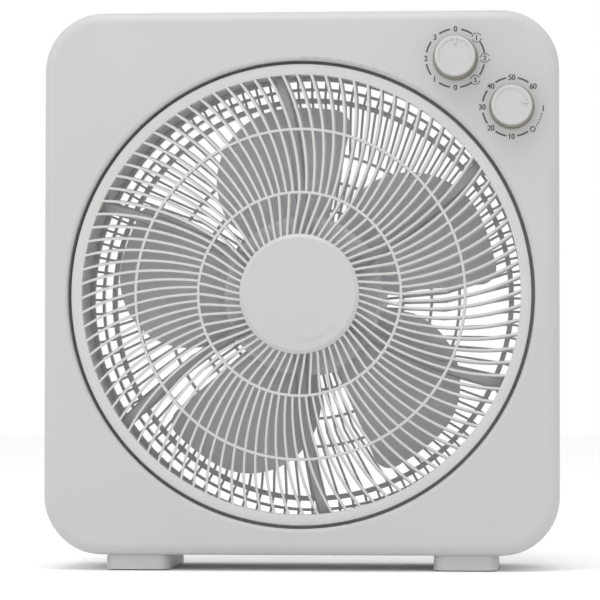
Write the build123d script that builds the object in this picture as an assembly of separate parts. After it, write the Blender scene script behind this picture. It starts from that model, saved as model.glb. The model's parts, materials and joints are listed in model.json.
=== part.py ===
from build123d import *
from math import cos, radians, sin, tan
import os

# Box fan with a motor-driven swirling front grille, in millimetres.
# The front faces -Y, +X is to the right seen from the front, +Z is up.
# The origin is on the floor, in the middle of the overall width and depth.
# Angles about the fan axis are counted counter-clockwise as seen from the front, from +X.

# ---- driving dimensions: body ----
WIDTH = 395.0
BODY_HEIGHT = 416.0
OVERALL_DEPTH = 130.0
CORNER_RADIUS = 45.0
WALL = 2.5
FRONT_EDGE_RADIUS = 9.0
REAR_EDGE_RADIUS = 7.0
FRONT_SHELL_SHARE = 0.52
LAP_LENGTH = 4.0
LAP_WALL = 1.2

# ---- driving dimensions: air duct and fan axis ----
OPENING_RADIUS = 178.8
DUCT_WALL = 2.5
LIP_RADIUS = 3.0
AXIS_ABOVE_BODY_BOTTOM = 199.0

# ---- driving dimensions: feet ----
FOOT_WIDTH = 49.5
FOOT_HEIGHT = 12.0
FOOT_SPACING = 251.5
FOOT_SETBACK = 8.0
FOOT_CORNER_RADIUS = 9.0
PAD_RADIUS = 7.0
PAD_THICKNESS = 2.0
PAD_PROUD = 0.8

# ---- driving dimensions: rotating grille ----
RIM_GAP = 2.6
RIM_WIDTH = 8.2
RIM_SETBACK = 3.0
RIM_DEPTH = 8.5
RIM_WALL = 2.0
DOME_HEIGHT = 9.0
RING_OUTER_RADIUS = 125.9
RING_INNER_RADIUS = 77.4
RING_WIDTH = 2.2
OUTER_RIBS = 96
INNER_RIBS = 60
RIB_WIDTH = 1.7
RIB_DEPTH_CENTRE = 4.0
RIB_TILT = 8.0
RIB_BEND_POWER = 1.55
RIB_BEND_RIM = 8.4
RIB_BEND_CAP = 5.7
CAP_RADIUS = 45.6
CAP_HEIGHT = 3.2
CAP_PROUD = 1.5
CAP_BEVEL = 1.8
CAP_TURN = 45.0
HUB_DISC_THICKNESS = 2.2

# ---- driving dimensions: front spider and grille motor ----
SPIDER_ARMS = 6
SPIDER_FIRST_ARM = 36.3
SPIDER_ARM_BEND = 6.5
SPIDER_ARM_WIDTH = 9.0
SPIDER_ARM_DEPTH = 8.0
SPIDER_BEHIND_RIM = 13.0
SPIDER_RING_WIDTH = 7.0
SPIDER_CUP_RADIUS = 29.0
SPIDER_PLATE = 2.0
GRILLE_MOTOR_RADIUS = 25.0
GRILLE_MOTOR_LENGTH = 14.0
GRILLE_SHAFT_RADIUS = 3.5

# ---- driving dimensions: impeller ----
TIP_CLEARANCE = 28.8
IMPELLER_RADIUS = OPENING_RADIUS - TIP_CLEARANCE
BLADES = 5
BLADE_START = 75.8
BLADE_SPAN = 59.0
BLADE_DROP = 42.0
BLADE_CAMBER = 5.0
BLADE_THICKNESS = 2.4
HUB_RADIUS = 62.0
HUB_WALL = 3.0
HUB_DEPTH = 54.0
HUB_BEHIND_RIM = 25.0
SPINNER_RADIUS = 14.0

# ---- driving dimensions: main motor ----
MOTOR_RADIUS = 46.0
MOTOR_LENGTH = 57.0
BELL_WALL = 2.0
STACK_LENGTH = 24.0
ROTOR_RADIUS = 23.5
AIR_GAP = 0.5
SHAFT_RADIUS = 4.0
RUNNING_CLEARANCE = 0.05
BEARING_RADIUS = 8.0
BEARING_LENGTH = 8.0

# ---- driving dimensions: rear grille ----
REAR_OUTER_RING_INSET = 9.8
REAR_THICK_RING_INSET = 18.8
REAR_RING_RADII = (73.0, 96.0, 118.5, OPENING_RADIUS - REAR_OUTER_RING_INSET)
REAR_THICK_RING_RADIUS = OPENING_RADIUS - REAR_THICK_RING_INSET
REAR_THICK_RING_WIDTH = 4.0
REAR_RIBS = 96
REAR_RIB_WIDTH = 1.8
REAR_RIB_DEPTH = 4.0
REAR_DOME = 5.0
REAR_BEND = 7.6
REAR_FLANGE_THICKNESS = 2.5
REAR_FLANGE_WIDTH = 9.0
MOTOR_PLATE_RADIUS = 56.0

# ---- driving dimensions: controls ----
CONTROL_DISTANCE = 215.0
SPEED_KNOB_ANGLE = 56.5
TIMER_KNOB_ANGLE = 41.3
KNOB_HEIGHT = 15.0
KNOB_FACE_RADIUS = 15.25
KNOB_BASE_RADIUS = 17.2
KNOB_WALL = 2.0
KNOB_CLEARANCE = 0.5
KNOB_FLUTES = 48
CONTROL_SHAFT_RADIUS = 3.0
SPEED_POINTER_ANGLE = 90.0
TIMER_POINTER_ANGLE = 10.0
SWITCH_RADIUS = 14.0
SWITCH_LENGTH = 18.0
TIMER_RADIUS = 19.0
TIMER_LENGTH = 26.0

# ---- driving dimensions: fasteners ----
SCREW_RADIUS = 2.0
SCREW_HEAD_RADIUS = 3.8
SCREW_HEAD_HEIGHT = 2.4
BOSS_RADIUS = 5.0
FLANGE_BOSS_RADIUS = 3.5
SLIP = 0.1
SEAT_GAP = 0.3

# ---- planes across the depth, worked out from front to back ----
Y_KNOB_FACE = -OVERALL_DEPTH / 2
Y_PANEL = Y_KNOB_FACE + KNOB_HEIGHT
Y_PANEL_BACK = Y_PANEL + WALL
Y_RIM = Y_PANEL + RIM_SETBACK
Y_RIM_BACK = Y_RIM + RIM_DEPTH
Y_DOME = Y_RIM - DOME_HEIGHT
Y_DOME_BACK = Y_DOME + RIB_DEPTH_CENTRE
Y_CAP_FACE = Y_DOME - CAP_PROUD
Y_CAP_BACK = Y_CAP_FACE + CAP_HEIGHT
Y_DISC_FRONT = Y_CAP_BACK + SEAT_GAP
Y_DISC_BACK = Y_DISC_FRONT + HUB_DISC_THICKNESS
Y_SPIDER = Y_RIM + SPIDER_BEHIND_RIM
Y_SPIDER_BACK = Y_SPIDER + SPIDER_ARM_DEPTH
Y_HUB = Y_RIM + HUB_BEHIND_RIM
Y_REAR = OVERALL_DEPTH / 2
Y_MOTOR_BACK = Y_REAR - REAR_RIB_DEPTH
Y_MOTOR_FRONT = Y_MOTOR_BACK - MOTOR_LENGTH
Y_REAR_PANEL = Y_REAR - REAR_DOME - REAR_RIB_DEPTH
Y_SEAM = Y_PANEL + FRONT_SHELL_SHARE * (Y_REAR_PANEL - Y_PANEL)

# ---- places across the front ----
Z_BODY_BOTTOM = FOOT_HEIGHT
Z_BODY_TOP = FOOT_HEIGHT + BODY_HEIGHT
Z_AXIS = Z_BODY_BOTTOM + AXIS_ABOVE_BODY_BOTTOM
DUCT_OUTER_RADIUS = OPENING_RADIUS + DUCT_WALL
RIM_OUTER_RADIUS = OPENING_RADIUS - RIM_GAP
RIM_INNER_RADIUS = RIM_OUTER_RADIUS - RIM_WIDTH
EAR_RADIUS = DUCT_OUTER_RADIUS + BOSS_RADIUS + 1.0
CORNER_BOSS_X = WIDTH / 2 - 27.0
CORNER_BOSS_INSET_Z = 24.0
FLANGE_OUTER_RADIUS = OPENING_RADIUS + REAR_FLANGE_WIDTH
FLANGE_SCREW_RADIUS = DUCT_OUTER_RADIUS + 3.2


def polar(radius, angle, z_centre=0.0):
    """Point in the front view at a radius and an angle about the fan axis."""
    return (radius * cos(radians(angle)), z_centre + radius * sin(radians(angle)))


def on_axis(shape):
    """Move a shape built about the Y axis onto the fan axis."""
    return Pos(0, 0, Z_AXIS) * shape


def turned_by(shape, angle):
    """Turn a shape built about the Y axis, counter-clockwise as seen from the front."""
    return Rot(0, -angle, 0) * shape


def disc(radius, y_front, y_back, x=0.0, z=0.0):
    """Round bar along Y."""
    bar = Cylinder(radius, y_back - y_front, rotation=(90, 0, 0))
    return Pos(x, (y_front + y_back) / 2, z) * bar


def ring(outer, inner, y_front, y_back, x=0.0, z=0.0):
    """Tube along Y."""
    return disc(outer, y_front, y_back, x, z) - disc(inner, y_front - 1, y_back + 1, x, z)


def turned(points):
    """Solid of revolution about Y, from its (radius, y) outline."""
    return revolve(make_face(Polyline(*points, close=True)), Axis.Y)


def slab(outline, y_front, y_back):
    """Plate between two depths, from an outline drawn in the front view."""
    flat = Plane.XZ * outline
    return Pos(0, y_back, 0) * extrude(flat, amount=y_back - y_front, dir=(0, -1, 0))


def sector(inner, outer, angle_from, angle_to):
    """Outline of a piece of a ring."""
    middle = (angle_from + angle_to) / 2
    edges = [
        Line(polar(inner, angle_from), polar(outer, angle_from)),
        ThreePointArc(polar(outer, angle_from), polar(outer, middle), polar(outer, angle_to)),
        Line(polar(outer, angle_to), polar(inner, angle_to)),
        ThreePointArc(polar(inner, angle_to), polar(inner, middle), polar(inner, angle_from)),
    ]
    return make_face(edges)


def solid_of(shape):
    """The one solid that a shape holds."""
    found = shape.solids()
    if len(found) != 1:
        raise ValueError(f"one solid expected, {len(found)} found")
    return found[0]


def screw(y_head, length, x, z, radius=SCREW_RADIUS, towards=-1):
    """Pan-head screw along Y with its head's underside at y_head, pointing to the front by default."""
    head_far = y_head - towards * SCREW_HEAD_HEIGHT
    tip = y_head + towards * length
    head = disc(SCREW_HEAD_RADIUS, min(y_head, head_far), max(y_head, head_far), x, z)
    shank = disc(radius, min(y_head, tip), max(y_head, tip), x, z)
    slot_depth = 0.9
    slot_mid = head_far + towards * slot_depth / 2
    slot = Pos(x, slot_mid, z) * Box(SCREW_HEAD_RADIUS * 1.2, slot_depth, 0.9)
    cross = Pos(x, slot_mid, z) * Box(0.9, slot_depth, SCREW_HEAD_RADIUS * 1.2)
    return solid_of(head + shank - slot - cross)


# ---------------------------------------------------------------- body shells

def body_outline(inset):
    """Rounded rectangle of the body in the front view."""
    z_mid = (Z_BODY_BOTTOM + Z_BODY_TOP) / 2
    width = WIDTH - 2 * inset
    height = BODY_HEIGHT - 2 * inset
    return Pos(0, z_mid) * RectangleRounded(width, height, CORNER_RADIUS - inset)


def body_block(inset, y_front, y_back, round_front=0.0, round_back=0.0):
    """Body-shaped block, with its front or rear edge rounded."""
    block = slab(body_outline(inset), y_front, y_back)
    if round_front > 0:
        block = fillet(block.faces().sort_by(Axis.Y)[0].edges(), round_front)
    if round_back > 0:
        block = fillet(block.faces().sort_by(Axis.Y)[-1].edges(), round_back)
    return block


def corner_bosses():
    """Places of the four corner screws that hold the two shells together."""
    return [
        (side * CORNER_BOSS_X, z)
        for side in (-1, 1)
        for z in (Z_BODY_BOTTOM + CORNER_BOSS_INSET_Z, Z_BODY_TOP - CORNER_BOSS_INSET_Z)
    ]


def ear_angles():
    """Angles of the spider's screw ears, half way between its arms."""
    pitch = 360 / SPIDER_ARMS
    return [SPIDER_FIRST_ARM + pitch * (k + 0.5) for k in range(SPIDER_ARMS)]


def flange_screw_angles():
    """Angles of the rear grille's screws, near the corners where there is room."""
    return [45 + 90 * k + turn for k in range(4) for turn in (-18, 18)]


def flange_screw_places():
    """Centres of the rear grille's screws."""
    return [polar(FLANGE_SCREW_RADIUS, angle, Z_AXIS) for angle in flange_screw_angles()]


SPEED_PLACE = polar(CONTROL_DISTANCE, SPEED_KNOB_ANGLE, Z_AXIS)
TIMER_PLACE = polar(CONTROL_DISTANCE, TIMER_KNOB_ANGLE, Z_AXIS)
CONTROL_HOLE_RADIUS = 5.0
CONTROL_BUSH_RADIUS = CONTROL_HOLE_RADIUS - SLIP
CONTROL_PLATE = 1.5
CONTROL_STANDOFF = 3.0
Y_CONTROL_PLATE = Y_PANEL_BACK + CONTROL_STANDOFF
SWITCH_EAR = SWITCH_RADIUS + 3.0
TIMER_EAR = TIMER_RADIUS + 1.5
SWITCH_EAR_ANGLE = 330.0
TIMER_EAR_ANGLE = 100.0
CONTROL_BOSS_RADIUS = 3.2
CONTROL_SCREW_RADIUS = 1.4

FOOT_X = FOOT_SPACING / 2
FOOT_Y_FRONT = Y_PANEL + FOOT_SETBACK
FOOT_Y_BACK = Y_REAR_PANEL - FOOT_SETBACK
FOOT_SCREW_Y = (FOOT_Y_FRONT + 24.0, FOOT_Y_BACK - 24.0)
FOOT_BOSS_HEIGHT = 8.0

CAPACITOR_SIZE = (40.0, 16.0, 26.0)
CAPACITOR_X = -(WIDTH / 2 - 62.0)
CAPACITOR_Z = Z_BODY_TOP - 32.0
CAPACITOR_TAB = 11.0

INLET_X = WIDTH / 2 - 42.0
INLET_Z = Z_BODY_BOTTOM + 30.0
INLET_RADIUS = 6.0


def ear_pair(place, distance, angle):
    """The two screw places of a control, on opposite sides of its shaft."""
    x, z = place
    dx, dz = polar(distance, angle)
    return [(x + dx, z + dz), (x - dx, z - dz)]


CONTROL_SCREWS = ear_pair(SPEED_PLACE, SWITCH_EAR, SWITCH_EAR_ANGLE)
CONTROL_SCREWS += ear_pair(TIMER_PLACE, TIMER_EAR, TIMER_EAR_ANGLE)


def opening_lip():
    """Rolled lip and front length of the air duct, behind the round opening."""
    arc_centre = (OPENING_RADIUS + LIP_RADIUS, Y_PANEL + LIP_RADIUS)
    arc_middle = (
        arc_centre[0] - LIP_RADIUS * cos(radians(45)),
        arc_centre[1] - LIP_RADIUS * sin(radians(45)),
    )
    overlap = DUCT_OUTER_RADIUS + LIP_RADIUS + 1.0
    outline = [
        ThreePointArc((OPENING_RADIUS, Y_PANEL + LIP_RADIUS), arc_middle, (arc_centre[0], Y_PANEL)),
        Polyline(
            (arc_centre[0], Y_PANEL),
            (overlap, Y_PANEL),
            (overlap, Y_PANEL_BACK),
            (DUCT_OUTER_RADIUS, Y_PANEL_BACK + LIP_RADIUS),
            (DUCT_OUTER_RADIUS, Y_SPIDER),
            (OPENING_RADIUS, Y_SPIDER),
            (OPENING_RADIUS, Y_PANEL + LIP_RADIUS),
        ),
    ]
    return on_axis(revolve(make_face(outline), Axis.Y))


def front_housing():
    shell = body_block(0, Y_PANEL, Y_SEAM, round_front=FRONT_EDGE_RADIUS)
    shell -= body_block(WALL, Y_PANEL_BACK, Y_SEAM + 1, round_front=FRONT_EDGE_RADIUS - WALL)
    shell -= on_axis(disc(OPENING_RADIUS + LIP_RADIUS, Y_PANEL - 1, Y_PANEL_BACK + 1))
    shell += opening_lip()
    bosses = [disc(BOSS_RADIUS, Y_PANEL_BACK - 0.5, Y_SEAM, x, z) for x, z in corner_bosses()]
    bosses += [
        disc(BOSS_RADIUS - 1, Y_PANEL_BACK - 0.5, Y_SPIDER, *polar(EAR_RADIUS, a, Z_AXIS))
        for a in ear_angles()
    ]
    bosses += [
        disc(CONTROL_BOSS_RADIUS, Y_PANEL_BACK - 0.5, Y_CONTROL_PLATE, x, z)
        for x, z in CONTROL_SCREWS
    ]
    foot_boss = Cylinder(BOSS_RADIUS, FOOT_BOSS_HEIGHT, align=(Align.CENTER, Align.CENTER, Align.MIN))
    for side in (-1, 1):
        bosses.append(Pos(side * FOOT_X, FOOT_SCREW_Y[0], Z_BODY_BOTTOM + WALL - 0.5) * foot_boss)
    shell = shell + bosses
    holes = [disc(SCREW_RADIUS, Y_SEAM - 22, Y_SEAM + 1, x, z) for x, z in corner_bosses()]
    holes += [
        disc(SCREW_RADIUS, Y_SPIDER - 9, Y_SPIDER + 1, *polar(EAR_RADIUS, a, Z_AXIS))
        for a in ear_angles()
    ]
    holes += [
        disc(CONTROL_SCREW_RADIUS, Y_PANEL_BACK - 1, Y_CONTROL_PLATE + 1, x, z)
        for x, z in CONTROL_SCREWS
    ]
    holes += [
        disc(CONTROL_HOLE_RADIUS, Y_PANEL - 1, Y_PANEL_BACK + 1, *place)
        for place in (SPEED_PLACE, TIMER_PLACE)
    ]
    holes.append(disc(SCREW_RADIUS, Y_PANEL_BACK - 1, Y_PANEL_BACK + 0.1, *capacitor_screw_place()))
    foot_hole = Cylinder(SCREW_RADIUS, FOOT_BOSS_HEIGHT, align=(Align.CENTER, Align.CENTER, Align.MIN))
    for side in (-1, 1):
        holes.append(Pos(side * FOOT_X, FOOT_SCREW_Y[0], Z_BODY_BOTTOM - 1) * foot_hole)
    return solid_of(shell - holes)


def rear_housing():
    shell = body_block(0, Y_SEAM, Y_REAR_PANEL, round_back=REAR_EDGE_RADIUS)
    shell -= body_block(WALL, Y_SEAM - 1, Y_REAR_PANEL - WALL, round_back=REAR_EDGE_RADIUS - WALL)
    lap = body_block(WALL + SLIP, Y_SEAM - LAP_LENGTH, Y_SEAM + 2)
    lap -= body_block(WALL + SLIP + LAP_WALL, Y_SEAM - LAP_LENGTH - 1, Y_SEAM + 3)
    bridge = body_block(WALL - 0.5, Y_SEAM + SLIP, Y_SEAM + 2)
    bridge -= body_block(WALL + SLIP + LAP_WALL, Y_SEAM - 1, Y_SEAM + 3)
    shell = shell + [lap, bridge]
    shell -= on_axis(disc(OPENING_RADIUS, Y_REAR_PANEL - WALL - 1, Y_REAR_PANEL + 1))
    shell += on_axis(
        ring(DUCT_OUTER_RADIUS, OPENING_RADIUS, Y_SPIDER_BACK + SEAT_GAP, Y_REAR_PANEL - WALL + 0.5)
    )
    bosses = [disc(BOSS_RADIUS, Y_SEAM, Y_REAR_PANEL - 0.5, x, z) for x, z in corner_bosses()]
    bosses += [
        disc(FLANGE_BOSS_RADIUS, Y_REAR_PANEL - WALL - 10, Y_REAR_PANEL - 0.5, x, z)
        for x, z in flange_screw_places()
    ]
    foot_boss = Cylinder(BOSS_RADIUS, FOOT_BOSS_HEIGHT, align=(Align.CENTER, Align.CENTER, Align.MIN))
    for side in (-1, 1):
        bosses.append(Pos(side * FOOT_X, FOOT_SCREW_Y[1], Z_BODY_BOTTOM + WALL - 0.5) * foot_boss)
    shell = shell + bosses
    shell -= on_axis(disc(OPENING_RADIUS, Y_REAR_PANEL - WALL - 12, Y_REAR_PANEL + 1))
    holes = [disc(SCREW_RADIUS + SLIP, Y_SEAM - 1, Y_REAR_PANEL + 1, x, z) for x, z in corner_bosses()]
    holes += [
        disc(SCREW_HEAD_RADIUS + SLIP, Y_SEAM + 10, Y_REAR_PANEL + 1, x, z)
        for x, z in corner_bosses()
    ]
    holes += [
        disc(CONTROL_SCREW_RADIUS, Y_REAR_PANEL - 9, Y_REAR_PANEL + 1, x, z)
        for x, z in flange_screw_places()
    ]
    foot_hole = Cylinder(SCREW_RADIUS, FOOT_BOSS_HEIGHT, align=(Align.CENTER, Align.CENTER, Align.MIN))
    for side in (-1, 1):
        holes.append(Pos(side * FOOT_X, FOOT_SCREW_Y[1], Z_BODY_BOTTOM - 1) * foot_hole)
    holes.append(disc(INLET_RADIUS, Y_REAR_PANEL - WALL - 1, Y_REAR_PANEL + 1, INLET_X, INLET_Z))
    return solid_of(shell - holes)


def housing_screws():
    return [screw(Y_SEAM + 10, 26, x, z) for x, z in corner_bosses()]


def cord_grommet():
    """Rubber bush that lines the hole for the mains cord."""
    y0 = Y_REAR_PANEL - WALL
    body = turned([
        (INLET_RADIUS - 2.4, y0 - 2.0),
        (INLET_RADIUS + 1.8, y0 - 2.0),
        (INLET_RADIUS + 1.8, y0),
        (INLET_RADIUS, y0),
        (INLET_RADIUS, Y_REAR_PANEL),
        (INLET_RADIUS + 1.8, Y_REAR_PANEL),
        (INLET_RADIUS + 1.0, Y_REAR_PANEL + 3.0),
        (INLET_RADIUS - 2.4, Y_REAR_PANEL + 3.0),
    ])
    return solid_of(Pos(INLET_X, 0, INLET_Z) * body)


# ---------------------------------------------------------------- feet

def foot(side):
    """Moulded foot: a block with rounded corners, screwed up into the body."""
    depth = FOOT_Y_BACK - FOOT_Y_FRONT
    y_mid = (FOOT_Y_FRONT + FOOT_Y_BACK) / 2
    base = RectangleRounded(FOOT_WIDTH, depth, FOOT_CORNER_RADIUS)
    height = FOOT_HEIGHT - PAD_PROUD
    block = Pos(side * FOOT_X, y_mid, PAD_PROUD) * extrude(base, amount=height, taper=3)
    align = (Align.CENTER, Align.CENTER, Align.MIN)
    for x, y in pad_places(side):
        block -= Pos(x, y, PAD_PROUD - 1) * Cylinder(PAD_RADIUS, 1 + PAD_THICKNESS - PAD_PROUD, align=align)
    for y in FOOT_SCREW_Y:
        block -= Pos(side * FOOT_X, y, 0) * Cylinder(SCREW_RADIUS + SLIP, FOOT_HEIGHT + 1, align=align)
        block -= Pos(side * FOOT_X, y, 0) * Cylinder(SCREW_HEAD_RADIUS + SLIP, 6, align=align)
    return solid_of(block)


def pad_places(side):
    """Centres of the two rubber pads under a foot."""
    inset = PAD_RADIUS + 3.0
    return [(side * FOOT_X, FOOT_Y_FRONT + inset), (side * FOOT_X, FOOT_Y_BACK - inset)]


def foot_pads():
    align = (Align.CENTER, Align.CENTER, Align.MIN)
    places = pad_places(-1) + pad_places(1)
    return [Pos(x, y, 0) * Cylinder(PAD_RADIUS, PAD_THICKNESS, align=align) for x, y in places]


def foot_screws():
    """Screws that hold the feet, heads sunk in from below."""
    align = (Align.CENTER, Align.CENTER, Align.MIN)
    screws = []
    for side in (-1, 1):
        for y in FOOT_SCREW_Y:
            head = Cylinder(SCREW_HEAD_RADIUS, SCREW_HEAD_HEIGHT, align=align)
            shank = Cylinder(SCREW_RADIUS, 11, align=align)
            one = Pos(0, 0, 6 - SCREW_HEAD_HEIGHT) * head + Pos(0, 0, 6) * shank
            screws.append(solid_of(Pos(side * FOOT_X, y, 0) * one))
    return screws


# ---------------------------------------------------------------- rotating grille

def bent_rib(stations, angle_at, width, front_at, back_at, lean=0.0):
    """One rib of flat facets that follows angle_at(radius) between two depths, leaning back clockwise."""
    left = []
    right = []
    for radius in stations:
        step = 0.5
        x0, z0 = polar(radius - step, angle_at(radius - step))
        x1, z1 = polar(radius + step, angle_at(radius + step))
        run = ((x1 - x0) ** 2 + (z1 - z0) ** 2) ** 0.5
        across = (-(z1 - z0) / run * width / 2, (x1 - x0) / run * width / 2)
        x, z = polar(radius, angle_at(radius))
        left.append((x + across[0], z + across[1]))
        right.append((x - across[0], z - across[1]))
    outline = make_face(Polyline(*left, *reversed(right), close=True))
    y_near = min(front_at(radius) for radius in stations) - 1
    y_far = max(back_at(radius) for radius in stations) + 1
    middle = sum(angle_at(radius) for radius in stations) / len(stations)
    shift = tan(radians(lean))
    direction = (shift * sin(radians(middle)), 1, -shift * cos(radians(middle)))
    bar = extrude(Pos(0, y_near, 0) * (Plane.XZ * outline), amount=y_far - y_near, dir=direction)
    side = [(radius, front_at(radius)) for radius in stations[::len(stations) // 2]]
    side += [(radius, back_at(radius)) for radius in reversed(stations[::len(stations) // 2])]
    zone = extrude(make_face(Polyline(*side, close=True)), amount=40, both=True)
    return solid_of(bar & turned_by(zone, middle))


def spread(start, end, count):
    """Evenly spaced radii from start to end."""
    return [start + (end - start) * k / count for k in range(count + 1)]


def dome_front(radius):
    """Depth of the dome's front at a radius."""
    return Y_DOME + DOME_HEIGHT * (radius / RIM_INNER_RADIUS) ** 2


def dome_ring(radius, width):
    """Ring that stands just proud of the ribs, in front and behind."""
    front = dome_front(radius) - 0.3
    back = dome_back(radius) + 0.3
    chamfer = width * 0.3
    return turned([
        (radius - width / 2 + chamfer, front),
        (radius + width / 2 - chamfer, front),
        (radius + width / 2, front + chamfer),
        (radius + width / 2, back),
        (radius - width / 2, back),
        (radius - width / 2, front + chamfer),
    ])


def dome_back(radius):
    """Depth of the ribs' rear edge at a radius: they are deeper towards the rim."""
    depth = RIB_DEPTH_CENTRE + (RIM_DEPTH - 1.0 - RIB_DEPTH_CENTRE) * (radius / RIM_INNER_RADIUS) ** 2
    return dome_front(radius) + depth


def outer_swirl(radius):
    """Angle of an outer rib's middle line at a radius."""
    share = max(radius - RING_INNER_RADIUS, 0) / (RIM_INNER_RADIUS - RING_INNER_RADIUS)
    return RIB_BEND_RIM * share ** RIB_BEND_POWER


def inner_swirl(radius):
    """Angle of an inner rib's middle line at a radius."""
    share = max(RING_INNER_RADIUS - radius, 0) / (RING_INNER_RADIUS - CAP_RADIUS)
    return RIB_BEND_CAP * share ** RIB_BEND_POWER


def rotating_grille():
    rim_lip = RIM_WALL * 0.4
    rim = turned([
        (RIM_INNER_RADIUS, Y_RIM + rim_lip),
        (RIM_INNER_RADIUS + rim_lip, Y_RIM),
        (RIM_OUTER_RADIUS - rim_lip, Y_RIM),
        (RIM_OUTER_RADIUS, Y_RIM + rim_lip),
        (RIM_OUTER_RADIUS, Y_RIM_BACK),
        (RIM_OUTER_RADIUS - RIM_WALL, Y_RIM_BACK),
        (RIM_OUTER_RADIUS - RIM_WALL, Y_RIM + RIM_WALL),
        (RIM_INNER_RADIUS + RIM_WALL, Y_RIM + RIM_WALL),
        (RIM_INNER_RADIUS + RIM_WALL, Y_RIM_BACK),
        (RIM_INNER_RADIUS, Y_RIM_BACK),
    ])
    outer_ring = dome_ring(RING_OUTER_RADIUS, RING_WIDTH)
    inner_ring = dome_ring(RING_INNER_RADIUS, RING_WIDTH)
    hub_disc = disc(CAP_RADIUS + 0.6, Y_DISC_FRONT, Y_DISC_BACK)
    outer_rib = bent_rib(
        spread(RING_INNER_RADIUS, RIM_INNER_RADIUS + RIM_WALL / 2, 4),
        outer_swirl, RIB_WIDTH, dome_front, dome_back, RIB_TILT,
    )
    inner_rib = bent_rib(
        spread(CAP_RADIUS + 0.3, RING_INNER_RADIUS, 2),
        inner_swirl, RIB_WIDTH, dome_front, dome_back, RIB_TILT,
    )
    ribs = [turned_by(outer_rib, 360 * k / OUTER_RIBS) for k in range(OUTER_RIBS)]
    ribs += [turned_by(inner_rib, 360 * k / INNER_RIBS) for k in range(INNER_RIBS)]
    grille = (rim + [outer_ring, inner_ring, hub_disc]) + ribs
    for angle in (90, 270):
        nub = Pos(*on_front(RIM_OUTER_RADIUS, angle, Y_RIM + 1.5)) * Sphere(0.9)
        grille += nub
    grille -= disc(DRIVE_BODY_RADIUS, Y_DISC_FRONT - 1, Y_DISC_BACK + 1)
    for k in range(2):
        slot = slab(sector(LUG_INNER - 0.5, LUG_OUTER + 0.5, -4, CAP_TURN + LUG_SPAN + 4), -90, 0)
        open_end = CAP_TURN + LUG_SPAN + 4
        window = slab(sector(LUG_INNER - 0.5, HOOK_OUTER + 0.5, CAP_TURN - 4, open_end), -90, 0)
        grille -= turned_by(slot + window, 180 * k)
    return solid_of(on_axis(grille))


def on_front(radius, angle, y):
    """Point in space at a radius and an angle about the Y axis."""
    x, z = polar(radius, angle)
    return (x, y, z)


# The lock cap hooks behind the hub disc with two lugs.
LUG_INNER = 30.0
LUG_OUTER = 33.0
HOOK_OUTER = 36.0
LUG_SPAN = 14.0
HOOK_THICKNESS = 1.4
DRIVE_BODY_RADIUS = 8.0
DRIVE_NOSE_RADIUS = 5.0
DRIVE_FLANGE_RADIUS = 14.0
DRIVE_FLANGE = 2.0


def grille_lock_cap():
    face = turned([
        (0, Y_CAP_FACE),
        (CAP_RADIUS - CAP_BEVEL * 1.6, Y_CAP_FACE),
        (CAP_RADIUS, Y_CAP_FACE + CAP_BEVEL),
        (CAP_RADIUS, Y_CAP_BACK),
        (CAP_RADIUS - 1.8, Y_CAP_BACK),
        (CAP_RADIUS - 1.8, Y_CAP_FACE + 1.8),
        (DRIVE_NOSE_RADIUS + 3, Y_CAP_FACE + 1.8),
        (DRIVE_NOSE_RADIUS + 3, Y_CAP_BACK),
        (DRIVE_NOSE_RADIUS + RUNNING_CLEARANCE, Y_CAP_BACK),
        (DRIVE_NOSE_RADIUS + RUNNING_CLEARANCE, Y_CAP_FACE + 1.2),
        (0, Y_CAP_FACE + 1.2),
    ])
    cap = face
    hook_front = Y_DISC_BACK + SEAT_GAP
    for k in range(2):
        leg = slab(sector(LUG_INNER, LUG_OUTER, 0, LUG_SPAN), Y_CAP_FACE + 1, hook_front + 0.2)
        hook = slab(sector(LUG_INNER, HOOK_OUTER, 0, LUG_SPAN), hook_front, hook_front + HOOK_THICKNESS)
        cap += turned_by(leg + hook, 180 * k)
    return solid_of(on_axis(cap))


def grille_drive_hub():
    body = turned([
        (GRILLE_SHAFT_RADIUS, Y_CAP_BACK),
        (DRIVE_NOSE_RADIUS, Y_CAP_BACK),
        (DRIVE_NOSE_RADIUS, Y_DISC_FRONT),
        (DRIVE_BODY_RADIUS, Y_DISC_FRONT),
        (DRIVE_BODY_RADIUS, Y_DISC_BACK),
        (DRIVE_FLANGE_RADIUS, Y_DISC_BACK),
        (DRIVE_FLANGE_RADIUS, Y_DISC_BACK + DRIVE_FLANGE),
        (GRILLE_SHAFT_RADIUS, Y_DISC_BACK + DRIVE_FLANGE),
    ])
    nose = ring(DRIVE_NOSE_RADIUS, GRILLE_SHAFT_RADIUS, Y_CAP_FACE + 1.6, Y_CAP_BACK + 0.1)
    return solid_of(on_axis(body + nose))


# ---------------------------------------------------------------- front spider and grille motor

Y_CUP_FRONT = Y_DISC_BACK + DRIVE_FLANGE + 1.5
Y_GRILLE_MOTOR = Y_CUP_FRONT + SPIDER_PLATE
Y_GRILLE_MOTOR_BACK = Y_GRILLE_MOTOR + GRILLE_MOTOR_LENGTH
COVER_THICKNESS = 1.5
MOTOR_EAR_RADIUS = 3.2
CUP_CLEARANCE = 0.3


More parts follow.
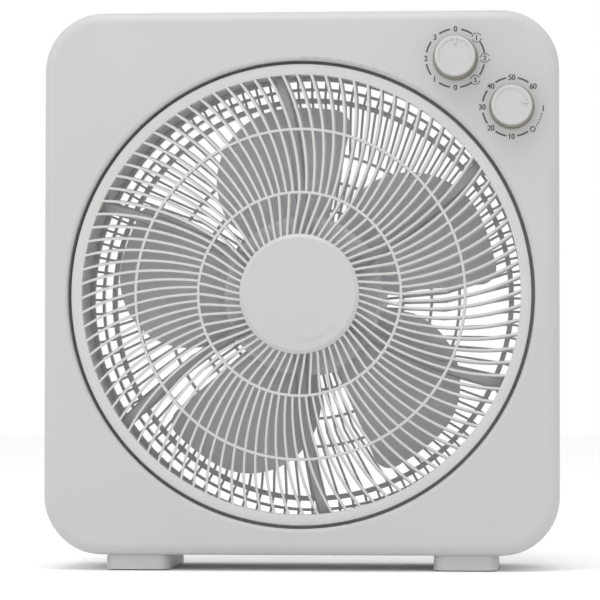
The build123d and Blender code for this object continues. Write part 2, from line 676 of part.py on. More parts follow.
def spider_arm(angle):
    """One curved arm with its flared foot at the ring."""
    inner = SPIDER_CUP_RADIUS - 1.5
    outer = OPENING_RADIUS - SPIDER_RING_WIDTH / 2
    middle = (inner + outer) / 2
    path = ThreePointArc(
        polar(inner, angle - SPIDER_ARM_BEND * 1.35),
        polar(middle, angle - SPIDER_ARM_BEND * 0.7),
        polar(outer, angle),
    )
    arm = slab(trace(path, SPIDER_ARM_WIDTH), Y_SPIDER, Y_SPIDER_BACK)
    arm = fillet(arm.faces().sort_by(Axis.Y)[0].edges().sort_by(SortBy.LENGTH)[-2:], SPIDER_ARM_WIDTH * 0.3)
    gusset_root = outer - 14
    gusset = make_face(Polyline(
        polar(gusset_root, angle - 1.2),
        polar(outer, angle - 5.2),
        polar(outer, angle + 4.8),
        close=True,
    ))
    return arm + slab(gusset, Y_SPIDER + 1.5, Y_SPIDER_BACK)


def front_spider():
    outer_ring = ring(DUCT_OUTER_RADIUS, OPENING_RADIUS - SPIDER_RING_WIDTH, Y_SPIDER, Y_SPIDER_BACK)
    inner_cut = OPENING_RADIUS - DUCT_WALL
    outer_ring -= ring(DUCT_OUTER_RADIUS + 1, inner_cut, Y_SPIDER + 3, Y_SPIDER_BACK + 1)
    cup = ring(SPIDER_CUP_RADIUS, GRILLE_MOTOR_RADIUS + CUP_CLEARANCE, Y_CUP_FRONT, Y_GRILLE_MOTOR_BACK)
    cup += ring(SPIDER_CUP_RADIUS, GRILLE_SHAFT_RADIUS + 4.2, Y_CUP_FRONT, Y_GRILLE_MOTOR)
    pitch = 360 / SPIDER_ARMS
    spider = outer_ring + cup
    spider += [spider_arm(SPIDER_FIRST_ARM + pitch * k) for k in range(SPIDER_ARMS)]
    cover_space = disc(SPIDER_CUP_RADIUS + CUP_CLEARANCE, Y_GRILLE_MOTOR_BACK, Y_SPIDER_BACK + 1)
    spider -= cover_space
    for angle in ear_angles():
        ear = disc(BOSS_RADIUS - 0.5, Y_SPIDER, Y_SPIDER + 3, *polar(EAR_RADIUS, angle))
        neck = slab(
            sector(DUCT_OUTER_RADIUS - 3, EAR_RADIUS, angle - 1.3, angle + 1.3),
            Y_SPIDER,
            Y_SPIDER + 3,
        )
        spider += [ear, neck]
        spider -= disc(SCREW_RADIUS + SLIP, Y_SPIDER - 1, Y_SPIDER + 4, *polar(EAR_RADIUS, angle))
    for x, z in cover_screw_places():
        spider += disc(MOTOR_EAR_RADIUS, Y_CUP_FRONT, Y_GRILLE_MOTOR_BACK, x, z)
        spider -= disc(CONTROL_SCREW_RADIUS, Y_GRILLE_MOTOR_BACK - 8, Y_GRILLE_MOTOR_BACK + 1, x, z)
    return solid_of(on_axis(spider))


def cover_screw_places():
    """The two bosses beside the cup that take the motor cover's screws."""
    reach = SPIDER_CUP_RADIUS + 1.5
    return [polar(reach, 0), polar(reach, 180)]


def spider_screws():
    return [
        screw(Y_SPIDER + 3, 10, *polar(EAR_RADIUS, angle, Z_AXIS))
        for angle in ear_angles()
    ]


def grille_motor():
    """Small geared synchronous motor: a closed can with its gear tower and terminal block."""
    can = turned([
        (0, Y_GRILLE_MOTOR_BACK),
        (GRILLE_MOTOR_RADIUS, Y_GRILLE_MOTOR_BACK),
        (GRILLE_MOTOR_RADIUS, Y_GRILLE_MOTOR + 1),
        (GRILLE_MOTOR_RADIUS - 1, Y_GRILLE_MOTOR),
        (GRILLE_SHAFT_RADIUS + 3.8, Y_GRILLE_MOTOR),
        (GRILLE_SHAFT_RADIUS + 3.8, Y_CUP_FRONT),
        (GRILLE_SHAFT_RADIUS + RUNNING_CLEARANCE, Y_CUP_FRONT),
        (GRILLE_SHAFT_RADIUS + RUNNING_CLEARANCE, Y_GRILLE_MOTOR + 6),
        (0, Y_GRILLE_MOTOR + 6),
    ])
    return solid_of(on_axis(can))


def grille_motor_shaft():
    shaft = disc(GRILLE_SHAFT_RADIUS, Y_CAP_FACE + 1.9, Y_GRILLE_MOTOR + 5.5)
    return solid_of(on_axis(shaft))


def grille_motor_cover():
    """Plate that closes the motor cup from behind."""
    plate = disc(SPIDER_CUP_RADIUS, Y_GRILLE_MOTOR_BACK, Y_GRILLE_MOTOR_BACK + COVER_THICKNESS)
    for x, z in cover_screw_places():
        plate += disc(MOTOR_EAR_RADIUS, Y_GRILLE_MOTOR_BACK, Y_GRILLE_MOTOR_BACK + COVER_THICKNESS, x, z)
    for x, z in cover_screw_places():
        plate -= disc(CONTROL_SCREW_RADIUS + SLIP, Y_GRILLE_MOTOR_BACK - 1, Y_GRILLE_MOTOR_BACK + 3, x, z)
    return solid_of(on_axis(plate))


def small_screw(y_head, length, x, z, towards=-1):
    """Small countersunk-size screw along Y."""
    y_far = y_head - towards * 1.2
    tip = y_head + towards * length
    head = disc(2.6, min(y_head, y_far), max(y_head, y_far), x, z)
    shank = disc(CONTROL_SCREW_RADIUS, min(y_head, tip), max(y_head, tip), x, z)
    slot = Pos(x, y_far + towards * 0.25, z) * Box(4.0, 0.5, 0.7)
    return solid_of(head + shank - slot)


def grille_motor_screws():
    y_head = Y_GRILLE_MOTOR_BACK + COVER_THICKNESS
    return [small_screw(y_head, 8, x, z + Z_AXIS) for x, z in cover_screw_places()]


# ---------------------------------------------------------------- impeller

Y_HUB_BACK = Y_HUB + HUB_DEPTH
Y_RECESS = Y_HUB + 6.0
Y_BOSS_BACK = Y_MOTOR_FRONT - 2.0
SPINNER_HEIGHT = 5.0
RECESS_RADIUS = SPINNER_RADIUS + 4.0
SHAFT_BOSS_RADIUS = 10.0
PIN_RADIUS = 1.25
PIN_LENGTH = 15.0


def blade_surface_y(radius, share):
    """Depth of the blade's middle surface: high share is the trailing edge, nearer the front."""
    tip_share = (radius - HUB_RADIUS) / (IMPELLER_RADIUS - HUB_RADIUS)
    start = Y_HUB_BACK - 4.0
    return start - BLADE_DROP * share + BLADE_CAMBER * sin(radians(180 * share)) * (1 - 0.4 * tip_share)


def blade_outline():
    """Outline of one blade in the front view, rooted inside the hub wall."""
    root = HUB_RADIUS - HUB_WALL * 0.6
    end = BLADE_START + BLADE_SPAN
    corner = BLADE_START + BLADE_SPAN * 0.12
    tip_end = BLADE_START + BLADE_SPAN * 0.39
    tail = HUB_RADIUS + (IMPELLER_RADIUS - HUB_RADIUS) * 0.28
    before_corner = IMPELLER_RADIUS * 0.91
    return make_face([
        Line(polar(root, BLADE_START), polar(before_corner, BLADE_START + 0.5)),
        ThreePointArc(
            polar(before_corner, BLADE_START + 0.5),
            polar(IMPELLER_RADIUS * 0.983, BLADE_START + BLADE_SPAN * 0.045),
            polar(IMPELLER_RADIUS, corner),
        ),
        ThreePointArc(
            polar(IMPELLER_RADIUS, corner),
            polar(IMPELLER_RADIUS, (corner + tip_end) / 2),
            polar(IMPELLER_RADIUS, tip_end),
        ),
        ThreePointArc(
            polar(IMPELLER_RADIUS, tip_end),
            polar(tail + (IMPELLER_RADIUS - tail) * 0.64, tip_end + (end - tip_end) * 0.63),
            polar(tail, end),
        ),
        Line(polar(tail, end), polar(root, end + 1)),
        ThreePointArc(polar(root, end + 1), polar(root, (BLADE_START + end) / 2), polar(root, BLADE_START)),
    ])


def blade():
    """One blade: a thickened, pitched surface trimmed to its outline."""
    grid = []
    for i in range(6):
        radius = HUB_RADIUS - HUB_WALL - 2 + (IMPELLER_RADIUS + 6 - HUB_RADIUS) * i / 5
        row = []
        for j in range(9):
            share = -0.1 + 1.2 * j / 8
            x, z = polar(radius, BLADE_START + BLADE_SPAN * share)
            row.append(Vector(x, blade_surface_y(radius, share), z))
        grid.append(row)
    surface = Face.make_surface_from_array_of_points(grid)
    plate = thicken(surface, amount=BLADE_THICKNESS / 2, both=True)
    return solid_of(plate & slab(blade_outline(), Y_HUB - 20, Y_HUB_BACK + 40))


def impeller():
    edge = 4.0
    hub = turned([
        (SHAFT_RADIUS, Y_RECESS),
        (RECESS_RADIUS, Y_RECESS),
        (RECESS_RADIUS, Y_HUB),
        (HUB_RADIUS - edge, Y_HUB),
        (HUB_RADIUS - edge * 0.3, Y_HUB + edge * 0.3),
        (HUB_RADIUS, Y_HUB + edge),
        (HUB_RADIUS, Y_HUB_BACK),
        (HUB_RADIUS - HUB_WALL, Y_HUB_BACK),
        (HUB_RADIUS - HUB_WALL, Y_HUB + edge),
        (HUB_RADIUS - edge, Y_HUB + HUB_WALL),
        (RECESS_RADIUS + 2, Y_HUB + HUB_WALL),
        (RECESS_RADIUS + 2, Y_RECESS + HUB_WALL),
        (SHAFT_BOSS_RADIUS, Y_RECESS + HUB_WALL),
        (SHAFT_BOSS_RADIUS, Y_BOSS_BACK),
        (SHAFT_RADIUS, Y_BOSS_BACK),
    ])
    one = blade()
    hub = hub + [turned_by(one, 360 * k / BLADES) for k in range(BLADES)]
    pin_slot = Box(PIN_LENGTH + 1, PIN_RADIUS * 2, PIN_RADIUS * 2)
    hub -= Pos(0, Y_BOSS_BACK - PIN_RADIUS, 0) * pin_slot
    return solid_of(on_axis(hub))


def impeller_spinner():
    """Hand nut that clamps the impeller on the shaft."""
    front = Y_RECESS - SPINNER_HEIGHT
    body = turned([
        (SHAFT_RADIUS - 0.8, Y_RECESS),
        (SPINNER_RADIUS, Y_RECESS),
        (SPINNER_RADIUS, front + 1.5),
        (SPINNER_RADIUS - 1.5, front),
        (0, front),
        (0, front + 1.2),
        (SHAFT_RADIUS - 0.8, front + 1.2),
    ])
    flutes = 12
    body -= [
        disc(1.2, front - 1, Y_RECESS + 1, *polar(SPINNER_RADIUS + 0.3, 360 * k / flutes))
        for k in range(flutes)
    ]
    return solid_of(on_axis(body))


def impeller_drive_pin():
    pin = Cylinder(PIN_RADIUS, PIN_LENGTH, rotation=(0, 90, 0))
    return solid_of(on_axis(Pos(0, Y_BOSS_BACK - PIN_RADIUS, 0) * pin))


# ---------------------------------------------------------------- main motor

BELL_SPLIT = Y_MOTOR_BACK - MOTOR_LENGTH / 2
Y_STACK_FRONT = BELL_SPLIT - STACK_LENGTH / 2
Y_STACK_BACK = BELL_SPLIT + STACK_LENGTH / 2
STACK_RADIUS = MOTOR_RADIUS - BELL_WALL
STATOR_BORE = ROTOR_RADIUS + AIR_GAP
BEARING_CUP_WALL = 2.0
CASE_SCREW_RADIUS = 1.6
CASE_SCREW_PLACE = MOTOR_RADIUS - BELL_WALL - 4.0
CASE_SCREWS = 4
COIL_LENGTH = 9.0
PLATE_SCREW_PLACE = 32.0
PLATE_BOSS_LENGTH = (MOTOR_LENGTH - STACK_LENGTH) / 2 - COIL_LENGTH - 0.5


def motor_shaft():
    front_end = Y_RECESS - SPINNER_HEIGHT + 1.6
    shaft = disc(SHAFT_RADIUS, Y_RECESS, Y_MOTOR_BACK - BELL_WALL - 0.5)
    shaft += disc(SHAFT_RADIUS - 0.8, front_end, Y_RECESS + 0.5)
    shaft -= Pos(0, Y_BOSS_BACK - PIN_RADIUS, 0) * Cylinder(PIN_RADIUS, 12, rotation=(0, 90, 0))
    return solid_of(on_axis(shaft))


def motor_rotor():
    """Squirrel-cage rotor with its end rings."""
    rotor = ring(ROTOR_RADIUS, SHAFT_RADIUS, Y_STACK_FRONT, Y_STACK_BACK)
    for front, back in ((Y_STACK_FRONT - 4, Y_STACK_FRONT), (Y_STACK_BACK, Y_STACK_BACK + 4)):
        rotor += ring(ROTOR_RADIUS - 0.5, ROTOR_RADIUS - 6, front, back)
    return solid_of(on_axis(rotor))


def bell(y_closed, y_open):
    """Motor end bell: a cup with a bearing pocket, closed at y_closed."""
    inward = 1 if y_open > y_closed else -1
    inner_face = y_closed + inward * BELL_WALL
    pocket_end = inner_face + inward * BEARING_LENGTH
    cup = disc(MOTOR_RADIUS, min(y_closed, y_open), max(y_closed, y_open))
    cavity_far = y_open + inward
    cup -= disc(STACK_RADIUS, min(inner_face, cavity_far), max(inner_face, cavity_far))
    cup += ring(
        BEARING_RADIUS + BEARING_CUP_WALL,
        BEARING_RADIUS,
        min(inner_face - inward * 0.5, pocket_end),
        max(inner_face - inward * 0.5, pocket_end),
    )
    return cup


def case_screw_places():
    return [polar(CASE_SCREW_PLACE, 45 + 360 * k / CASE_SCREWS) for k in range(CASE_SCREWS)]


def plate_screw_places():
    return [polar(PLATE_SCREW_PLACE, 360 * k / CASE_SCREWS) for k in range(CASE_SCREWS)]


def motor_front_bell():
    cup = bell(Y_MOTOR_FRONT, BELL_SPLIT)
    cup -= disc(SHAFT_RADIUS + 1, Y_MOTOR_FRONT - 1, Y_MOTOR_FRONT + BELL_WALL + 1)
    for k in range(12):
        outline = sector(MOTOR_RADIUS - 25, MOTOR_RADIUS - 12, -8, 8)
        vent = slab(outline, Y_MOTOR_FRONT - 1, Y_MOTOR_FRONT + BELL_WALL + 1)
        cup -= turned_by(vent, 30 * k)
    for x, z in case_screw_places():
        cup -= disc(CASE_SCREW_RADIUS + SLIP, Y_MOTOR_FRONT - 1, Y_MOTOR_FRONT + BELL_WALL + 1, x, z)
    return solid_of(on_axis(cup))


def motor_rear_bell():
    cup = bell(Y_MOTOR_BACK, BELL_SPLIT)
    for x, z in plate_screw_places():
        cup += disc(4, Y_MOTOR_BACK - PLATE_BOSS_LENGTH, Y_MOTOR_BACK, x, z)
        cup -= disc(SCREW_RADIUS, Y_MOTOR_BACK - PLATE_BOSS_LENGTH + 0.6, Y_MOTOR_BACK + 1, x, z)
    for x, z in case_screw_places():
        cup += disc(3, Y_STACK_BACK + COIL_LENGTH + 1, Y_MOTOR_BACK - 0.5, x, z)
        cup -= disc(CASE_SCREW_RADIUS, Y_STACK_BACK, Y_MOTOR_BACK - BELL_WALL, x, z)
    return solid_of(on_axis(cup))


def stator_core():
    """Laminated stack with slots for the coils."""
    core = ring(STACK_RADIUS, STATOR_BORE, Y_STACK_FRONT, Y_STACK_BACK)
    slots = 16
    for k in range(slots):
        slot = slab(sector(STATOR_BORE + 3, STACK_RADIUS - 9, -7, 7), Y_STACK_FRONT - 1, Y_STACK_BACK + 1)
        core -= turned_by(slot, 360 * k / slots)
    for x, z in case_screw_places():
        core -= disc(CASE_SCREW_RADIUS + SLIP, Y_STACK_FRONT - 1, Y_STACK_BACK + 1, x, z)
    return solid_of(on_axis(core))


def coil_head(y_stack, outward):
    """Bundle of coil ends standing out of the stack."""
    inner = STATOR_BORE + 2.5
    outer = STACK_RADIUS - 8.5
    y_end = y_stack + outward * COIL_LENGTH
    y_round = y_end - outward * 3
    return turned([
        (inner, y_stack),
        (outer, y_stack),
        (outer, y_round),
        (outer - 2.5, y_end),
        (inner + 2.5, y_end),
        (inner, y_round),
    ])


def stator_windings():
    """Coil heads in front and behind, joined through the slots."""
    winding = coil_head(Y_STACK_FRONT, -1) + coil_head(Y_STACK_BACK, 1)
    slots = 16
    for k in range(slots):
        outline = sector(STATOR_BORE + 3.3, STACK_RADIUS - 9.3, -6.5, 6.5)
        bar = slab(outline, Y_STACK_FRONT - 0.5, Y_STACK_BACK + 0.5)
        winding += turned_by(bar, 360 * k / slots)
    return solid_of(on_axis(winding))


def thermal_fuse():
    """Thermal cut-out tied to the front coil head."""
    x, z = polar((STATOR_BORE + STACK_RADIUS) / 2 - 3, 100)
    y_front = Y_STACK_FRONT - COIL_LENGTH
    body = Pos(x, y_front - 1.6, z) * Box(9, 3.2, 5)
    return solid_of(on_axis(body))


def bearing(y_front):
    body = ring(BEARING_RADIUS, SHAFT_RADIUS + RUNNING_CLEARANCE, y_front, y_front + BEARING_LENGTH)
    return solid_of(on_axis(body))


def motor_case_screws():
    """Long screws through the front bell and stack into the rear bell."""
    y_head = Y_MOTOR_FRONT
    length = Y_MOTOR_BACK - BELL_WALL - 1 - y_head
    return [
        screw(y_head, length, x, z + Z_AXIS, radius=CASE_SCREW_RADIUS, towards=1)
        for x, z in case_screw_places()
    ]


def motor_mount_screws():
    """Screws through the rear grille's plate into the rear bell."""
    return [screw(Y_REAR - 2.5, 7.5, x, z + Z_AXIS) for x, z in plate_screw_places()]


# ---------------------------------------------------------------- rear grille

def rear_depth(radius):
    """Rear surface of the rear grille's dome at a radius."""
    return Y_REAR - REAR_DOME * (radius / OPENING_RADIUS) ** 2


def rear_front(radius):
    """Front surface of the rear grille's ribs at a radius."""
    return rear_depth(radius) - REAR_RIB_DEPTH


def rear_swirl(radius):
    """Angle of a rear rib's middle line, which runs straight out past the thick ring."""
    curved = min(radius, REAR_THICK_RING_RADIUS) - MOTOR_PLATE_RADIUS
    share = max(curved, 0) / (REAR_THICK_RING_RADIUS - MOTOR_PLATE_RADIUS)
    return REAR_BEND * share ** RIB_BEND_POWER


def rear_ring(radius, width):
    back = rear_depth(radius)
    return ring(radius + width / 2, radius - width / 2, back - REAR_RIB_DEPTH - 0.3, back + 0.3)


def rear_grille():
    y_flange = Y_REAR_PANEL + REAR_FLANGE_THICKNESS
    flange = ring(FLANGE_OUTER_RADIUS, OPENING_RADIUS - 3, Y_REAR_PANEL, y_flange)
    flange += ring(OPENING_RADIUS, OPENING_RADIUS - 3, Y_REAR_PANEL, Y_REAR - REAR_DOME)
    rings = [rear_ring(radius, RING_WIDTH) for radius in REAR_RING_RADII]
    rings.append(rear_ring(REAR_THICK_RING_RADIUS, REAR_THICK_RING_WIDTH))
    plate = disc(MOTOR_PLATE_RADIUS, Y_MOTOR_BACK, Y_REAR - 0.4)
    inner_rib = bent_rib(
        spread(MOTOR_PLATE_RADIUS - 1, REAR_THICK_RING_RADIUS, 2),
        rear_swirl, REAR_RIB_WIDTH, rear_front, rear_depth,
    )
    outer_rib = bent_rib(
        spread(REAR_THICK_RING_RADIUS, OPENING_RADIUS - 1.5, 2),
        rear_swirl, REAR_RIB_WIDTH, rear_front, rear_depth,
    )
    ribs = []
    for k in range(REAR_RIBS):
        ribs.append(turned_by(inner_rib, 360 * k / REAR_RIBS))
        ribs.append(turned_by(outer_rib, 360 * k / REAR_RIBS))
    grille = (flange + [plate] + rings) + ribs
    for x, z in plate_screw_places():
        grille -= disc(SCREW_RADIUS + SLIP, Y_MOTOR_BACK - 1, Y_REAR + 1, x, z)
        grille -= disc(SCREW_HEAD_RADIUS + SLIP, Y_REAR - 2.5, Y_REAR + 1, x, z)
    for angle in flange_screw_angles():
        x, z = polar(FLANGE_SCREW_RADIUS, angle)
        grille -= disc(CONTROL_SCREW_RADIUS + SLIP, Y_REAR_PANEL - 1, Y_REAR_PANEL + 4, x, z)
    return solid_of(on_axis(grille))


def rear_grille_screws():
    y_head = Y_REAR_PANEL + REAR_FLANGE_THICKNESS
    return [
        small_screw(y_head, 10, x, z)
        for x, z in flange_screw_places()
    ]


# ---------------------------------------------------------------- controls

def knob(place, pointer_angle):
    """Tapered hollow knob with a fluted skirt, a dished face and a raised pointer."""
    y_base = Y_PANEL - KNOB_CLEARANCE
    y_floor = Y_KNOB_FACE + KNOB_WALL
    dish = KNOB_FACE_RADIUS - 3.0
    bore = CONTROL_SHAFT_RADIUS
    body = turned([
        (0, Y_KNOB_FACE + 0.8),
        (dish, Y_KNOB_FACE + 0.8),
        (dish + 0.6, Y_KNOB_FACE + 0.2),
        (KNOB_FACE_RADIUS - 0.8, Y_KNOB_FACE + 0.2),
        (KNOB_FACE_RADIUS, Y_KNOB_FACE + 1.0),
        (KNOB_BASE_RADIUS, y_base),
        (KNOB_BASE_RADIUS - KNOB_WALL, y_base),
        (KNOB_FACE_RADIUS - KNOB_WALL, y_floor + 0.8),
        (bore + 2.5, y_floor + 0.8),
        (bore + 2.5, y_base - 1),
        (bore, y_base - 1),
        (bore, y_floor + 0.8),
        (0, y_floor + 0.8),
    ])
    slope = (KNOB_BASE_RADIUS - KNOB_FACE_RADIUS) / (KNOB_HEIGHT - 1.5)
    mid_radius = KNOB_FACE_RADIUS + slope * (KNOB_HEIGHT / 2 + 0.5) + 0.05
    groove = Pos(mid_radius, Y_KNOB_FACE + KNOB_HEIGHT / 2 + 1, 0) * Box(0.7, KNOB_HEIGHT - 4, 0.8)
    body -= [turned_by(groove, 360 * (k + 0.5) / KNOB_FLUTES) for k in range(KNOB_FLUTES)]
    pointer = Pos(KNOB_FACE_RADIUS - 3.6, Y_KNOB_FACE + 0.6, 0) * Box(6.4, 1.2, 1.6)
    body += turned_by(pointer, pointer_angle)
    x, z = place
    return solid_of(Pos(x, 0, z) * body)


def control_shaft(place, y_inside):
    x, z = place
    y_front = Y_KNOB_FACE + KNOB_WALL + 1.2
    return solid_of(disc(CONTROL_SHAFT_RADIUS, y_front, y_inside, x, z))


def control_body(place, radius, length, ear_places, ear_angle):
    """Switch or timer: a closed body on a mounting plate, with a bush for its shaft."""
    x, z = place
    body = disc(radius, Y_CONTROL_PLATE, Y_CONTROL_PLATE + length, x, z)
    bush = disc(CONTROL_BUSH_RADIUS, Y_PANEL + 0.5, Y_CONTROL_PLATE + 1, x, z)
    body += bush
    ear_distance = ((ear_places[0][0] - x) ** 2 + (ear_places[0][1] - z) ** 2) ** 0.5
    bar = Box(2 * ear_distance, CONTROL_PLATE, 2 * CONTROL_BOSS_RADIUS)
    body += Pos(x, Y_CONTROL_PLATE + CONTROL_PLATE / 2, z) * turned_by(bar, ear_angle)
    for ex, ez in ear_places:
        y_back = Y_CONTROL_PLATE + CONTROL_PLATE
        body += disc(CONTROL_BOSS_RADIUS, Y_CONTROL_PLATE, y_back, ex, ez)
        body -= disc(CONTROL_SCREW_RADIUS + SLIP, Y_CONTROL_PLATE - 1, y_back + 1, ex, ez)
    body -= disc(CONTROL_SHAFT_RADIUS + RUNNING_CLEARANCE, Y_PANEL - 1, Y_CONTROL_PLATE + 8, x, z)
    return body


def terminal_tabs(place, radius, y_back, count, spread):
    """Row of flat tabs at the back of a switch body."""
    x, z = place
    tabs = []
    for k in range(count):
        offset = (k - (count - 1) / 2) * spread
        tabs.append(Pos(x + offset, y_back + 3.5, z + radius * 0.4) * Box(4.0, 8.0, 0.8))
    return tabs


def speed_switch():
    body = control_body(SPEED_PLACE, SWITCH_RADIUS, SWITCH_LENGTH, CONTROL_SCREWS[:2], SWITCH_EAR_ANGLE)
    tabs = terminal_tabs(SPEED_PLACE, SWITCH_RADIUS, Y_CONTROL_PLATE + SWITCH_LENGTH, 3, 7.0)
    return solid_of(body + tabs)


def timer_body():
    body = control_body(TIMER_PLACE, TIMER_RADIUS - 1.5, TIMER_LENGTH, CONTROL_SCREWS[2:], TIMER_EAR_ANGLE)
    tabs = terminal_tabs(TIMER_PLACE, TIMER_RADIUS, Y_CONTROL_PLATE + TIMER_LENGTH, 2, 12.0)
    return solid_of(body + tabs)


def control_screws():
    y_head = Y_CONTROL_PLATE + CONTROL_PLATE
    return [small_screw(y_head, 5.2, x, z) for x, z in CONTROL_SCREWS]


def capacitor_screw_place():
    return (CAPACITOR_X + CAPACITOR_SIZE[0] / 2 + CAPACITOR_TAB / 2, CAPACITOR_Z)


def run_capacitor():
    """Motor capacitor: a sealed box with a screw tab, on the back of the front panel."""
    width, depth, height = CAPACITOR_SIZE
    box = Pos(CAPACITOR_X, Y_PANEL_BACK + depth / 2, CAPACITOR_Z) * Box(width, depth, height)
    tab_x, tab_z = capacitor_screw_place()
    tab = Pos(tab_x - 1, Y_PANEL_BACK + 1, tab_z) * Box(CAPACITOR_TAB, 2, 10)
    body = box + tab - disc(SCREW_RADIUS + SLIP, Y_PANEL_BACK - 1, Y_PANEL_BACK + 3, tab_x, tab_z)
    return solid_of(body)


def capacitor_screw():
    x, z = capacitor_screw_place()
    return screw(Y_PANEL_BACK + 2, 2.8, x, z)


# ---------------------------------------------------------------- write every sub-part

def write(name, shape):
    """Write one node's solids to its STEP file."""
    solids = shape if isinstance(shape, list) else [shape]
    solids = [solid_of(one) for one in solids]
    export_step(solids[0] if len(solids) == 1 else Compound(solids), f"parts/{name}.step")


os.makedirs("parts", exist_ok=True)
write("front_housing", front_housing())
write("rear_housing", rear_housing())
write("housing_screws", housing_screws())
write("cord_grommet", cord_grommet())
write("left_foot", foot(-1))
write("right_foot", foot(1))
write("foot_pads", foot_pads())
write("foot_screws", foot_screws())
write("rotating_grille", rotating_grille())
write("grille_lock_cap", grille_lock_cap())
write("grille_drive_hub", grille_drive_hub())
write("front_spider", front_spider())
write("spider_screws", spider_screws())
write("grille_motor", grille_motor())
write("grille_motor_shaft", grille_motor_shaft())
write("grille_motor_cover", grille_motor_cover())
write("grille_motor_screws", grille_motor_screws())
write("impeller", impeller())
write("impeller_spinner", impeller_spinner())
write("impeller_drive_pin", impeller_drive_pin())
write("motor_shaft", motor_shaft())
write("motor_rotor", motor_rotor())
write("motor_front_bell", motor_front_bell())
write("motor_rear_bell", motor_rear_bell())
write("stator_core", stator_core())
write("stator_windings", stator_windings())
write("thermal_fuse", thermal_fuse())
write("front_bearing", bearing(Y_MOTOR_FRONT + BELL_WALL))
write("rear_bearing", bearing(Y_MOTOR_BACK - BELL_WALL - BEARING_LENGTH))
write("motor_case_screws", motor_case_screws())
write("motor_mount_screws", motor_mount_screws())
write("rear_grille", rear_grille())
write("rear_grille_screws", rear_grille_screws())
write("speed_knob", knob(SPEED_PLACE, SPEED_POINTER_ANGLE))
write("speed_switch_shaft", control_shaft(SPEED_PLACE, Y_CONTROL_PLATE + 7))
write("speed_switch", speed_switch())
write("timer_knob", knob(TIMER_PLACE, TIMER_POINTER_ANGLE))
write("timer_shaft", control_shaft(TIMER_PLACE, Y_CONTROL_PLATE + 7))
write("timer_body", timer_body())
write("control_screws", control_screws())
write("run_capacitor", run_capacitor())
write("capacitor_screw", capacitor_screw())
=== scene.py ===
"""Box fan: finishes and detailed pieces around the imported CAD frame."""

import json
import math

import bmesh
import bpy
from bpy.props import FloatProperty, FloatVectorProperty, IntProperty, PointerProperty
from mathutils import Matrix, Vector


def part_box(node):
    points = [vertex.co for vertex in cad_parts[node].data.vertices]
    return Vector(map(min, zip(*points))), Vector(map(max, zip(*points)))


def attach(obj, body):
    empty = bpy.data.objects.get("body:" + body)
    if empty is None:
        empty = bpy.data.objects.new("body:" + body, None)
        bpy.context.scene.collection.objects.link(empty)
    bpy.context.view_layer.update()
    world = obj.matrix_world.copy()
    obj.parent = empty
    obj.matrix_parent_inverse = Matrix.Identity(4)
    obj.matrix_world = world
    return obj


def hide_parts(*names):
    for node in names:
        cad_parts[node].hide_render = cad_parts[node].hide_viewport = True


bl_info = {
    "name": "Box Fan",
    "version": (1, 0, 0),
    "blender": (4, 5, 0),
    "location": "View3D > Sidebar > Box Fan",
    "description": "Builds the finishes and detailed pieces of a box fan on its CAD frame",
    "category": "Object",
}

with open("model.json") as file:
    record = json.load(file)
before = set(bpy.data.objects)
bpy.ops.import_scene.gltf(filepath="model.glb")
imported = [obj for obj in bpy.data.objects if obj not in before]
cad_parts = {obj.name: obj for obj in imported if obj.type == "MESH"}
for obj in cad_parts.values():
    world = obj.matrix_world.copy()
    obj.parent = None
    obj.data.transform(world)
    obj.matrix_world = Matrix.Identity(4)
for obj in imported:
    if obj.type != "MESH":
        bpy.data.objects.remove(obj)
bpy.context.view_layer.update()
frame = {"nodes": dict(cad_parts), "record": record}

MM = 0.001
HOUSING = "housing"
SWIRL = "swirl_grille"
CAP = "lock_cap"
SLOTS = {part["node"]: part["material_slot"] for part in frame["record"]["subparts"]}
CAP_SLOT = SLOTS["grille_lock_cap"]


def node_middle(node):
    """Middle of a CAD node's box."""
    low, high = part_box(node)
    return (low + high) / 2


def node_radius(node):
    """Half the width of a round CAD node."""
    low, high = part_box(node)
    return (high.x - low.x) / 2


AXIS = Vector((0.0, 0.0, node_middle("rear_grille").z))
RIM_OUTER = node_radius("rotating_grille")
CAP_RADIUS = node_radius("grille_lock_cap")
CAP_FACE_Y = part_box("grille_lock_cap")[0].y
PANEL_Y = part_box("front_housing")[0].y
KNOB_FACE_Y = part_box("speed_knob")[0].y


# ---------------------------------------------------------------- sizes and colours

class FanSizes(bpy.types.PropertyGroup):
    """Sizes that a user would change."""

    rim_width: FloatProperty(
        name="Rim width", description="Flat width of the front grille's rim",
        default=8.2 * MM, unit="LENGTH",
    )
    ring_middle: FloatProperty(
        name="Middle ring", description="Radius of the front grille's middle ring",
        default=125.9 * MM, unit="LENGTH",
    )
    ring_inner: FloatProperty(
        name="Inner ring", description="Radius of the front grille's inner ring",
        default=77.4 * MM, unit="LENGTH",
    )
    ring_width: FloatProperty(
        name="Ring width", description="Width of the grille rings",
        default=2.2 * MM, unit="LENGTH",
    )
    rib_width: FloatProperty(
        name="Rib width", description="Width of one grille rib",
        default=1.85 * MM, unit="LENGTH",
    )
    rib_tilt: FloatProperty(
        name="Rib tilt", description="Lean of the ribs from straight back",
        default=math.radians(8.0), unit="ROTATION",
    )
    outer_ribs: IntProperty(
        name="Outer ribs", description="Ribs between the inner ring and the rim", default=96,
    )
    inner_ribs: IntProperty(
        name="Inner ribs", description="Ribs between the cap and the inner ring", default=60,
    )
    dial_radius: FloatProperty(
        name="Dial radius", description="Radius of the printed scale round a knob",
        default=22.4 * MM, unit="LENGTH",
    )
    numeral_height: FloatProperty(
        name="Numeral height", description="Height of the printed numerals",
        default=4.3 * MM, unit="LENGTH",
    )


